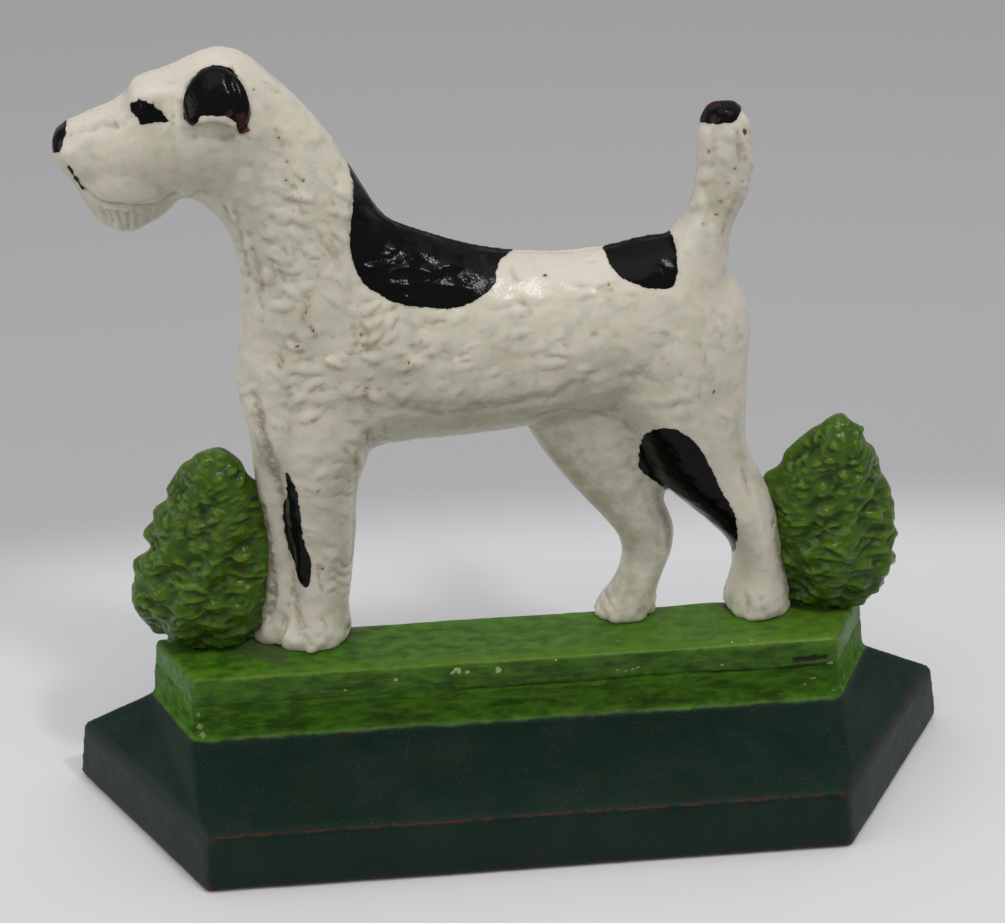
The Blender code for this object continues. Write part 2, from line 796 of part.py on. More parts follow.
owners = {
    "front_shrub": shrub_front, "rear_shrub": shrub_rear, "front_paw": dog_casting,
    "far_hind_paw": dog_casting, "near_hind_paw": dog_casting}
for name, (x, forward) in figure_screws.items():
    grip_top = figure_bottom + foot_screw_grip
    drill(owners[name], name + "_thread", figure_screw_diameter + 2 * hole_gap, x, forward,
          figure_bottom - overrun, grip_top + head_gap)
    fastener(name, x, forward, pocket_top, figure_screw_diameter, grip_top - pocket_top)
for name, (x, forward) in slab_screws.items():
    fastener(name, x, forward, boss_bottom, slab_screw_diameter,
             slab_bottom + slab_screw_grip - boss_bottom)

for item in parts.objects:
    if item.type == "MESH":
        item.data.shade_smooth()
        item.data.set_sharp_from_angle(angle=math.radians(40))
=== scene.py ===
# Looks of the cast iron terrier doorstop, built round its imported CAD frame.
# Sizes are in millimetres and Blender's scene is in metres. The flat back faces +Y.

import itertools
import math

import bpy
import numpy as np
from mathutils import Matrix, Vector
from mathutils.bvhtree import BVHTree


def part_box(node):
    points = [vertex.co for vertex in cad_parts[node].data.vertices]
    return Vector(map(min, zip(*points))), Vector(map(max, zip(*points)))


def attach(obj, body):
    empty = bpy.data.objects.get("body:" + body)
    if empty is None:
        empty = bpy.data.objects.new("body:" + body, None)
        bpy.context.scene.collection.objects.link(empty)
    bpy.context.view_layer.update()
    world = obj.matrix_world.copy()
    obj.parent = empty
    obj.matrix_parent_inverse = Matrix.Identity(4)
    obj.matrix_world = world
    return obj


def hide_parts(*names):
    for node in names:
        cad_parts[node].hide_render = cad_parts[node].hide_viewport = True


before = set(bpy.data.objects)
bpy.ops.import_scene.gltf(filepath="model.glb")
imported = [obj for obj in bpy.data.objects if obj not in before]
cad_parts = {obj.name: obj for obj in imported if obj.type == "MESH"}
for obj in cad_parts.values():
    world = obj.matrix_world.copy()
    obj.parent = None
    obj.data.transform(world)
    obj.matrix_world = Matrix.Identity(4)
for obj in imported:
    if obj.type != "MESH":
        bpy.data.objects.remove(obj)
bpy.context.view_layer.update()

MM = 0.001

# Places read off the CAD nodes

back_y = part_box("dog_casting")[1][1] / MM
slab_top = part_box("turf_slab")[1][2] / MM
deck_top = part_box("base_casting")[1][2] / MM

# Camera, fitted to the base's corners in the photograph

PHOTO_WIDTH = 1005
PHOTO_HEIGHT = 923
FOCAL_LENGTH_PX = 2400
SENSOR_WIDTH = 36.0
CAMERA_TURN = math.radians(-4.18)
CAMERA_TILT = math.radians(30.0)
CAMERA_ROLL = math.radians(-1.41)
CAMERA_DISTANCE = 664.2
CAMERA_AIM = Vector((-1.1, back_y, 96.4))


def camera_axes():
    """The camera's right, up and back, as unit vectors."""
    back = Vector((math.sin(CAMERA_TURN) * math.cos(CAMERA_TILT),
                   -math.cos(CAMERA_TURN) * math.cos(CAMERA_TILT), math.sin(CAMERA_TILT)))
    level = Vector((math.cos(CAMERA_TURN), math.sin(CAMERA_TURN), 0))
    rise = back.cross(level)
    right = level * math.cos(CAMERA_ROLL) + rise * math.sin(CAMERA_ROLL)
    up = rise * math.cos(CAMERA_ROLL) - level * math.sin(CAMERA_ROLL)
    return right, up, back


camera_right, camera_up, camera_back = camera_axes()
camera_place = CAMERA_AIM + camera_back * CAMERA_DISTANCE


def photo_ray(pixel):
    """The direction of a pixel of the photograph, from the camera."""
    across = (pixel[0] - PHOTO_WIDTH / 2) / FOCAL_LENGTH_PX
    rise = (PHOTO_HEIGHT / 2 - pixel[1]) / FOCAL_LENGTH_PX
    return (camera_right * across + camera_up * rise - camera_back).normalized()


def picture_place(points):
    """Where points show in the photograph, in pixels, and how many pixels a mm takes there."""
    gap = points - np.array(camera_place)
    scale = FOCAL_LENGTH_PX / -(gap @ np.array(camera_back))
    across = PHOTO_WIDTH / 2 + gap @ np.array(camera_right) * scale
    down = PHOTO_HEIGHT / 2 - gap @ np.array(camera_up) * scale
    return np.stack([across, down], axis=1), scale


# Mesh tools


def baked(piece):
    """Applies a piece's modifiers."""
    depsgraph = bpy.context.evaluated_depsgraph_get()
    mesh = bpy.data.meshes.new_from_object(piece.evaluated_get(depsgraph))
    piece.modifiers.clear()
    piece.data = mesh
    return piece


def fine_copy(node, name, voxel, passes, reshape=None):
    """An evenly remeshed and smoothed copy of a CAD node, reshaped first if wanted."""
    piece = bpy.data.objects.new(name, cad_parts[node].data.copy())
    bpy.context.scene.collection.objects.link(piece)
    if reshape:
        points, _ = read_points(piece.data)
        write_points(piece.data, reshape(points))
    even = piece.modifiers.new("even", "REMESH")
    even.mode = "VOXEL"
    even.voxel_size = voxel * MM
    smooth = piece.modifiers.new("smooth", "SMOOTH")
    smooth.factor = 0.5
    smooth.iterations = passes
    return baked(piece)


def read_points(mesh):
    """A mesh's points in millimetres and its unit normals."""
    points = np.empty(len(mesh.vertices) * 3)
    normals = np.empty(len(mesh.vertices) * 3)
    mesh.vertices.foreach_get("co", points)
    mesh.vertices.foreach_get("normal", normals)
    return points.reshape(-1, 3) / MM, normals.reshape(-1, 3)


def write_points(mesh, points):
    mesh.vertices.foreach_set("co", (points * MM).ravel())
    mesh.update()
    mesh.shade_smooth()


def read_edges(mesh):
    edges = np.empty(len(mesh.edges) * 2, dtype=int)
    mesh.edges.foreach_get("vertices", edges)
    return edges.reshape(-1, 2)


def neighbour_mean(values, edges, passes):
    """Each row averaged with its neighbours along the mesh, some times over."""
    first, second = edges.T
    count = len(values)
    near = np.bincount(edges.ravel(), minlength=count)
    for _ in range(passes):
        total = np.empty_like(values)
        for k in range(values.shape[1]):
            total[:, k] = (np.bincount(first, values[second, k], count)
                           + np.bincount(second, values[first, k], count))
        values = 0.5 * values + 0.5 * total / near[:, None]
    return values


# Noise

TABLE_SIZE = 32
CURL_MARGIN = 0.15  # share of its cell that a curl's middle keeps clear of each side
CURL_SCATTER = 0.7  # share of its cell over which a curl's middle may lie
CURL_TURN = 1.3  # radians over which curls turn about the lie
STEEPER_BELOW = 1.9  # the lower side of a curl over its upper side
noise_table = np.random.default_rng(11).random((TABLE_SIZE, TABLE_SIZE, TABLE_SIZE))


def ease(low, high, values):
    """0 below low, 1 above high and a smooth step between."""
    t = np.clip((values - low) / (high - low), 0, 1)
    return t * t * (3 - 2 * t)


def lumps(points, size, seed):
    """Smooth noise from -1 to 1 with lumps of a size in mm. Each use has a seed of its own."""
    place = points / size + seed * 5.37
    cell = np.floor(place).astype(int)
    t = place - cell
    t = t * t * (3 - 2 * t)
    total = np.zeros(len(points))
    for corner in itertools.product((0, 1), repeat=3):
        weight = np.prod(np.where(corner, t, 1 - t), axis=1)
        i, j, k = ((cell + corner) % TABLE_SIZE).T
        total += weight * noise_table[i, j, k]
    return total * 2 - 1


def tufts(plan, lie, kind, seed):
    """Soft curls of hair or leaf: low rounded bumps from 0 to 1, steeper along their lower rims.

    They lie along lie. A kind says how far apart they stand, their half length and half width,
    all in mm, and the share of places without one.
    """
    size, half_length, half_width, bare = kind
    place = plan / size
    cell = np.floor(place).astype(int)
    total = np.zeros(len(plan))
    for i, j in itertools.product((-1, 0, 1), repeat=2):
        a, b = ((cell + (i, j)) % TABLE_SIZE).T
        shift = np.stack([noise_table[a, b, seed], noise_table[b, a, seed]], axis=1)
        dx, dz = ((place - cell - (i, j) - CURL_MARGIN - CURL_SCATTER * shift) * size).T
        turn = lie + CURL_TURN * (noise_table[a, b, seed + 1] - 0.5)
        along = (dx * np.cos(turn) + dz * np.sin(turn)) / half_length
        across = (dz * np.cos(turn) - dx * np.sin(turn)) / half_width
        across = np.where(across < 0, across * STEEPER_BELOW, across)
        height = np.clip(noise_table[b, a, seed + 2] - bare, 0, 1) / (1 - bare)
        total += height * np.clip(1 - along ** 2 - across ** 2, 0, 1) ** 2
    return total


# Lines and outlines in the front view, as x and height in mm


def line_distance(plan, line):
    """Distance of each point of the front view from a line through some points."""
    nearest = np.full(len(plan), 1e9)
    for start, end in zip(line, line[1:]):
        along = end - start
        t = np.clip((plan - start) @ along / max(along @ along, 1e-9), 0, 1)
        gap = plan - start - t[:, None] * along
        nearest = np.minimum(nearest, np.hypot(gap[:, 0], gap[:, 1]))
    return nearest


def rounded(outline, steps=6):
    """A closed smooth curve through an outline's points."""
    count = len(outline)
    curve = []
    for i in range(count):
        a, b, c, d = (outline[(i + k) % count] for k in (-1, 0, 1, 2))
        for t in np.arange(steps) / steps:
            curve.append(0.5 * (2 * b + (c - a) * t + (2 * a - 5 * b + 4 * c - d) * t * t
                                + (3 * b - a - 3 * c + d) * t ** 3))
    return np.array(curve)


def outline_distance(plan, outline):
    """Distance of each point from a closed outline, below 0 inside it."""
    closed = np.vstack([outline, outline[:1]])
    distance = line_distance(plan, closed)
    inside = np.zeros(len(plan), dtype=bool)
    x, z = plan.T
    for (x1, z1), (x2, z2) in zip(closed, closed[1:]):
        if z1 == z2:
            continue
        crosses = (z1 > z) != (z2 > z)
        inside ^= crosses & (x < x1 + (z - z1) * (x2 - x1) / (z2 - z1))
    return np.where(inside, -distance, distance)


# Material tools


class Paint:
    """A node material with a Principled shader, a colour to build up and short names for nodes."""

    def __init__(self, name):
        self.material = bpy.data.materials.new(name)
        self.material.use_nodes = True
        self.nodes = self.material.node_tree.nodes
        self.shader = self.nodes["Principled BSDF"]
        self.place = self.nodes.new("ShaderNodeTexCoord").outputs["Object"]
        self.colour = None

    def feed(self, socket, value):
        if isinstance(value, bpy.types.NodeSocket):
            self.material.node_tree.links.new(value, socket)
        elif isinstance(value, tuple):
            socket.default_value = (*value, 1.0)
        else:
            socket.default_value = value

    def add(self, kind, inputs, **settings):
        """Adds a node with some settings, feeds its inputs and returns its outputs."""
        node = self.nodes.new("ShaderNode" + kind)
        for name, value in settings.items():
            setattr(node, name, value)
        for socket, value in inputs.items():
            self.feed(node.inputs[socket], value)
        return node.outputs

    def math(self, operation, first, second=0.0):
        return self.add("Math", {0: first, 1: second}, operation=operation)[0]

    def plus(self, first, second):
        return self.math("ADD", first, second)

    def times(self, first, second):
        return self.math("MULTIPLY", first, second)

    def apart(self, first, second):
        """How far two numbers lie apart."""
        return self.math("ABSOLUTE", self.math("SUBTRACT", first, second))

    def stretched(self, size, stretch):
        """Object coordinates in units of size mm, divided by stretch along X, Y and Z."""
        scale = [1 / (size * MM * s) for s in stretch]
        return self.add("Mapping", {"Vector": self.place, "Scale": scale})[0]

    def noise(self, size, detail, stretch=(1, 1, 1)):
        """Noise from 0 to 1 whose lumps are size mm across."""
        place = self.stretched(size, stretch)
        return self.add("TexNoise", {"Vector": place, "Scale": 1.0, "Detail": detail})["Fac"]

    def step(self, value, low, high):
        """0 below low and 1 above high, or the other way round if low is above high."""
        inputs = {"Value": value, "From Min": low, "From Max": high}
        return self.add("MapRange", inputs, interpolation_type="SMOOTHSTEP")[0]

    def patches(self, size, detail, low, high, stretch=(1, 1, 1)):
        """Soft-edged patches: noise brought to 0 below low and to 1 above high."""
        return self.step(self.noise(size, detail, stretch), low, high)

    def wander(self, size, detail, span):
        """Noise centred on 0, from half a span below it to half a span above."""
        return self.times(self.math("SUBTRACT", self.noise(size, detail), 0.5), span)

    def mix(self, amount, first, second):
        return self.add("Mix", {0: amount, 6: first, 7: second}, data_type="RGBA")[2]

    def blend(self, amount, first, second):
        """Two numbers mixed by an amount."""
        return self.add("Mix", {0: amount, 2: first, 3: second})[0]

    def cover(self, mask, tint):
        """Lays a tint over the colour where a mask is 1."""
        self.colour = self.mix(mask, self.colour, tint)

    def tint(self, mask, share, tint):
        """Draws the colour toward a tint by a share of a mask."""
        self.cover(self.times(mask, share), tint)

    def stored(self, name):
        return self.add("Attribute", {}, attribute_name=name)["Fac"]

    def axis(self, source, name):
        return self.add("SeparateXYZ", {0: source})[name]

    def facing(self, name):
        return self.axis(self.add("NewGeometry", {})["Normal"], name)

    def bump(self, height, distance):
        """Bump whose full height is distance mm."""
        normal = self.add("Bump", {"Height": height, "Distance": distance * MM})[0]
        self.feed(self.shader.inputs["Normal"], normal)

    def finish(self, roughness, specular=0.5, metallic=0.0):
        self.feed(self.shader.inputs["Base Color"], self.colour)
        self.feed(self.shader.inputs["Roughness"], roughness)
        self.shader.inputs["Specular IOR Level"].default_value = specular
        self.shader.inputs["Metallic"].default_value = metallic
        return self.material


def dress(piece, material):
    piece.data.materials.clear()
    piece.data.materials.append(material)


def hand_over(piece, node, material):
    """Dresses a piece and rides it on the part's one body in place of its CAD node."""
    dress(piece, material)
    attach(piece, "root")
    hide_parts(node)


# The dog's relief. Lines and places are pixels of the photograph, carried onto the casting by
# a ray from the camera.

# Ridges (above 0) and grooves (below 0): half width and height in mm, then the lines
RELIEF_LINES = (
    # head
    (1.1, 0.5, ((68, 129), (88, 124), (105, 120), (122, 115))),
    (0.8, -0.35, ((74, 136), (92, 132), (116, 124))),
    (1.3, 0.4, ((86, 141), (95, 138), (104, 137))),
    (1.5, 0.55, ((136, 94), (150, 92), (166, 91), (180, 93))),
    (2.4, -0.5, ((134, 110), (150, 111), (164, 117))),
    (1.3, 0.55, ((143, 111), (150, 112), (157, 116))),
    (1.1, -0.8, ((85, 190), (97, 200), (113, 204), (138, 206), (160, 202), (177, 194))),
    (0.7, -0.3, ((100, 206), (104, 215), (105, 221))),
    (0.9, -0.35, ((108, 211), (111, 219), (110, 226))),
    (0.6, -0.25, ((117, 211), (118, 219), (122, 228))),
    (0.8, -0.35, ((128, 213), (127, 226))),
    (0.6, -0.25, ((136, 211), (138, 218), (136, 224))),
    (0.9, -0.3, ((147, 209), (148, 220))),
    (0.7, -0.25, ((157, 206), (155, 215))),
    (0.7, -0.3, ((66, 163), (72, 172), (83, 188))),
    (0.8, -0.5, ((231, 80), (234, 92), (235, 112))),
    (1.2, -0.4, ((196, 137), (214, 140), (233, 135))),
    # neck
    (1.1, -0.45, ((224, 208), (237, 240), (247, 270), (247, 305), (243, 345))),
    (1.2, 0.35, ((232, 205), (245, 240), (255, 275), (254, 310))),
    (1, -0.3, ((250, 235), (262, 280), (262, 320))),
    (1.6, 0.3, ((330, 135), (343, 165), (347, 200), (345, 240))),
    (1.2, -0.3, ((318, 150), (333, 180), (338, 215))),
    # chest
    (1.2, -0.7, ((258, 395), (267, 432), (276, 468), (283, 500), (289, 545), (297, 595))),
    (1.3, 0.35, ((250, 400), (258, 440), (263, 480), (268, 520))),
    (0.9, -0.55, ((263, 505), (271, 550), (275, 595), (268, 625))),
    # legs and tail
    (0.7, -0.3, ((336, 452), (345, 449), (350, 452)), ((334, 464), (343, 461), (350, 464)),
     ((334, 479), (343, 477), (350, 480)), ((333, 495), (342, 492), (349, 496))),
    (0.7, -0.35, ((336, 560), (342, 567), (350, 566)), ((334, 570), (341, 577), (350, 575)),
     ((334, 580), (341, 587), (350, 584)), ((334, 591), (341, 597), (350, 594))),
    (0.5, -0.25, ((356, 452), (353, 500), (352, 560), (349, 615))),
    (0.7, -0.4, ((321, 565), (320, 578), (324, 590))),
    (0.8, -0.25, ((300, 610), (307, 628)), ((323, 618), (327, 636)), ((598, 600), (604, 612)),
     ((610, 598), (617, 614))),
    (0.8, -0.3, ((744, 596), (747, 611))),
    (0.8, -0.25, ((760, 598), (763, 612))),
    (1, -0.2, ((742, 420), (757, 465), (772, 515), (781, 560))),
    (1, 0.2, ((728, 410), (745, 460), (757, 510), (764, 560))),
    (1, -0.2, ((640, 480), (655, 520), (660, 550))),
    (1.2, 0.25, ((704, 130), (704, 165), (701, 200), (692, 226))),
    (1, -0.25, ((712, 130), (712, 165), (709, 205))),
    (1.2, 0.25, ((746, 135), (747, 165), (741, 205), (733, 235))),
    (1, -0.25, ((739, 132), (740, 165), (734, 200))),
    # body
    (1.9, -0.29, ((388, 393), (405, 406), (440, 413), (482, 408), (522, 401), (556, 395),
     (588, 377), (622, 361))),
    (2.2, 0.23, ((410, 395), (445, 402), (485, 398), (522, 391), (556, 385), (586, 367))),
    (1.4, -0.23, ((617, 374), (648, 379), (680, 376)), ((655, 409), (675, 406), (694, 404))),
    (1.6, 0.23, ((640, 400), (665, 398), (690, 393))),
    (1.4, -0.2, ((510, 343), (522, 341), (530, 344))),
    (1.2, -0.26, ((596, 334), (606, 332), (616, 335))),
    (1.5, 0.26, ((668, 295), (680, 299)), ((684, 314), (706, 315))),
    (2.2, -0.23, ((480, 372), (510, 366), (540, 356), (570, 342))),
    (1.8, -0.2, ((400, 352), (430, 348), (460, 354))),
    (1.9, -0.23, ((372, 300), (372, 345), (366, 395))),
    (2.4, 0.23, ((312, 400), (330, 425), (350, 435), (365, 425))),
    (1.8, -0.26, ((346, 395), (360, 402), (372, 415))),
)

# Which way the coat lies, in degrees up from +X, and how strongly it stands out
COAT = (
    ((215, 60), 30, 0.1), ((120, 150), 10, 0.12), ((190, 160), 0, 0.2), ((290, 130), -50, 0.4),
    ((335, 170), -60, 0.55), ((290, 210), -25, 0.95), ((300, 285), -30, 1.1),
    ((250, 330), -70, 0.2), ((335, 290), -35, 1.1), ((330, 345), -15, 1.1),
    ((310, 400), 10, 0.85), ((390, 340), 5, 0.75), ((430, 320), 10, 0.45), ((530, 265), 5, 0.25),
    ((560, 300), 8, 0.28), ((480, 370), 15, 0.6), ((560, 355), 25, 0.62), ((620, 340), 20, 0.5),
    ((470, 425), 5, 0.12), ((690, 300), -80, 0.4), ((700, 360), -75, 0.42),
    ((730, 420), -70, 0.4), ((765, 530), -60, 0.25), ((725, 160), -10, 0.6),
    ((590, 470), -30, 0.08), ((640, 560), -60, 0.1), ((330, 470), 0, 0.45), ((320, 560), 0, 0.3),
    ((260, 480), -80, 0.1), ((320, 630), 0, 0.08), ((620, 605), 0, 0.08), ((760, 600), 0, 0.1),
    ((430, 270), -15, 0.9), ((645, 262), 0, 0.4), ((690, 470), -40, 0.1),
)
COAT_REACH = 12.0  # mm over which one of these places gives way to the next
COAT_WANDER = 1.1
COAT_TURN = 0.6  # radians by which the lie wavers
LARGE_TUFTS = (5.4, 4.1, 3.0, 0.1)
SMALL_TUFTS = (3.2, 2.2, 1.6, 0.3)
TUFT_RELIEF = 0.85  # mm that a full tuft stands proud
TOES_BELOW = 10.0  # mm over the slab, under which the paws are knobbly
TOE_RELIEF = 0.6
FAR_FRONT_PAW = (270, 632)
SPREAD_REACH = 15.0  # mm round that place over which the paw spreads to the left
PAW_SPREAD = 3.2
RIM_WIDTH = 3.2  # smooth edge of the casting, forward of its flat back
RIM_STEP = 0.28  # how far the coat stands proud of that edge
SKIN_RELIEF = 0.07
SMEAR_STRENGTH = 0.82
PAW_DIRT = (2.4, 0.4, 0.9)  # mm over the slab where the paws' dirt and painted contact shade start and are full, and its strength
FAR_FROM_PATCH = 50.0

# Black patches, drawn on the photograph
SADDLE = (
    (351, 158), (354, 192), (350, 230), (350, 246), (354, 264), (361, 280), (379, 294),
    (400, 304), (432, 308), (459, 307), (477, 299), (494, 285), (496, 272), (501, 259),
    (512, 246), (470, 236), (410, 205))
HIP_PATCH = (
    (606, 243), (606, 254), (617, 274), (637, 285), (666, 289), (677, 276), (674, 240),
    (662, 226), (640, 222))
THIGH_PATCH = (
    (639, 460), (643, 437), (659, 429), (673, 429), (689, 437), (702, 451), (716, 479),
    (726, 499), (735, 515), (737, 536), (733, 551), (721, 536), (707, 522), (684, 500),
    (663, 487), (641, 470))
LEG_STREAK = (
    (286, 473), (295, 487), (299, 505), (303, 539), (311, 565), (308, 586), (300, 582),
    (293, 560), (286, 538), (283, 508), (287, 494))
EYE_PATCH = (
    (131, 103), (140, 101), (150, 104), (159, 110), (169, 121), (163, 122), (155, 121),
    (148, 124), (140, 124), (137, 117), (131, 110))
EAR_PATCH = (
    (184, 118), (183, 103), (186, 90), (193, 77), (204, 68), (216, 65), (228, 68), (236, 75),
    (243, 85), (248, 97), (250, 110), (248, 123), (242, 134), (238, 130), (235, 122),
    (227, 117), (215, 116), (205, 116), (200, 118), (197, 123), (192, 126), (187, 122))
NOSE_PATCH = ((45, 120), (65, 118), (66, 128), (63, 142), (59, 151), (45, 150))
TAIL_PATCH = ((695, 90), (695, 118), (709, 123), (722, 124), (738, 117), (742, 88))
PATCHES = (
    SADDLE, HIP_PATCH, THIGH_PATCH, LEG_STREAK, EYE_PATCH, EAR_PATCH, NOSE_PATCH, TAIL_PATCH)

# Thin black brush strokes: half width in mm, then the lines
BLACK_STROKES = (
    (0.42, ((68, 167), (72, 173))),
    (0.4, ((76, 178), (79, 183), (83, 188))),
    (0.22, ((140, 102), (139, 99)), ((146, 103), (146, 100)), ((153, 105), (154, 102)),
     ((168, 120), (173, 123))),
)

# Where the iron or an old red coat shows: radius in mm, strength, then the places
RUST_SPOTS = (
    (0.4, 0.8, (421, 341), (672, 333)), (0.4, 0.9, (609, 285)), (0.4, 1, (253, 90), (417, 424)),
    (0.5, 0.8, (727, 183), (721, 201), (709, 151), (662, 355), (313, 420)), (0.5, 0.9, (278, 137),
    (735, 168), (716, 214), (703, 224), (305, 312), (409, 361), (713, 391), (322, 568),
    (318, 490)), (0.5, 1, (287, 161), (286, 180), (263, 285)), (0.6, 0.8, (728, 196), (283, 360),
    (364, 345), (486, 406), (783, 540)), (0.6, 0.9, (741, 180), (367, 388), (743, 477)),
    (0.6, 1, (303, 180), (545, 276), (313, 331)), (0.7, 0.8, (172, 117), (298, 345), (361, 335)),
    (0.8, 0.9, (719, 119)), (0.8, 1, (744, 130)), (0.9, 0.8, (272, 592)), (1, 0.9, (722, 99)),
    (1.2, 0.9, (351, 626)), (1.2, 1, (731, 112)), (1.3, 0.9, (229, 114)), (1.3, 1, (242, 129)),
    (1.5, 1, (714, 105)), (2, 1, (240, 118)),
)

# Broad greenish dirt and painted shade in the paint, under the jaw and belly and over the far hind
# leg: radius in mm, strength, then the places
STAINS = (
    (5, 0.2, (340, 480)), (5, 0.4, (700, 330)), (5, 0.5, (345, 610)), (5, 0.6, (728, 165)),
    (5, 0.7, (262, 450)), (5, 0.8, (268, 560), (272, 610)), (6, 0.2, (315, 545)),
    (6, 0.3, (340, 570)), (6, 0.4, (228, 140), (715, 390), (150, 130), (500, 350)),
    (6, 0.5, (642, 545), (660, 520), (725, 195)), (6, 0.8, (277, 470)), (7, 0.2, (765, 560)),
    (7, 0.3, (365, 330)), (7, 0.4, (268, 150)), (7, 0.5, (655, 380), (125, 200)),
    (7, 1, (722, 203)), (8, 0.2, (300, 325)), (8, 0.5, (205, 172), (330, 225), (610, 365),
    (590, 440), (640, 430)), (8, 0.6, (545, 420)), (8, 0.7, (420, 405)), (8, 1, (625, 590)),
    (9, 0.6, (235, 190), (262, 260), (520, 395), (570, 385)), (9, 0.7, (470, 408)),
    (10, 0.4, (390, 385)), (11, 1, (635, 540)), (12, 1, (605, 500)), (13, 1, (575, 465)),
)

# Brown dirt and painted shade along folds and between parts: half width in mm, strength, then the
# lines
DIRTY_LINES = (
    (0.7, 0.6, ((350, 190), (348, 215), (349, 240), (356, 270)),
    ((355, 450), (354, 500), (352, 560))), (0.8, 0.5, ((180, 198), (200, 190), (220, 196))),
    (0.8, 0.6, ((533, 415), (560, 408), (600, 412), (630, 425))),
    (0.8, 0.7, ((234, 209), (243, 240), (250, 262), (262, 288)),
    ((353, 600), (352, 622), (350, 640))),
    (0.9, 0.35, ((388, 393), (405, 406), (440, 413), (482, 408), (522, 401))),
    (0.9, 0.6, ((655, 500), (665, 520), (668, 545))),
    (1, 0.6, ((297, 600), (301, 622), (307, 638))),
    (1.1, 0.9, ((258, 405), (266, 440), (273, 470), (281, 492)),
    ((772, 520), (781, 560), (787, 590))),
    (1.6, 1, ((263, 505), (270, 545), (274, 585), (270, 612), (262, 628))),
)

# Brown smears where the paint has rubbed thin: half width in mm, strength, then the lines
SMEARS = (
    (0.4, 0.7, ((384, 424), (386, 438))), (0.5, 0.6, ((280, 268), (285, 280)),
    ((246, 262), (250, 276)), ((660, 352), (668, 362)), ((733, 200), (722, 232)),
    ((600, 288), (612, 290)), ((636, 366), (650, 371))),
    (0.5, 0.7, ((361, 322), (368, 333), (367, 350))), (0.5, 0.8, ((368, 428), (366, 442))),
    (0.5, 1, ((311, 326), (316, 336))), (0.6, 0.6, ((470, 404), (490, 401)),
    ((331, 240), (336, 256)), ((741, 470), (748, 492)), ((512, 273), (517, 283)),
    ((520, 300), (530, 312))), (0.6, 0.7, ((353, 326), (357, 342), (351, 352)),
    ((364, 390), (370, 404)), ((738, 135), (745, 160)), ((352, 580), (353, 620))),
    (0.7, 0.6, ((276, 130), (281, 144))), (0.7, 0.75, ((284, 348), (281, 366)),
    ((400, 360), (414, 364))), (0.8, 0.65, ((294, 336), (302, 350))),
    (0.9, 0.75, ((308, 298), (304, 318))),
)
GLAZE_ROUND_PATCH = 0.9  # how far thin black spreads past a patch's edge, in mm

MISSED_FORWARD = 6.0  # mm in front of the back, where a ray ends that misses the piece
LINE_WANDER = 0.7  # mm by which ridges and grooves stray from their drawn way


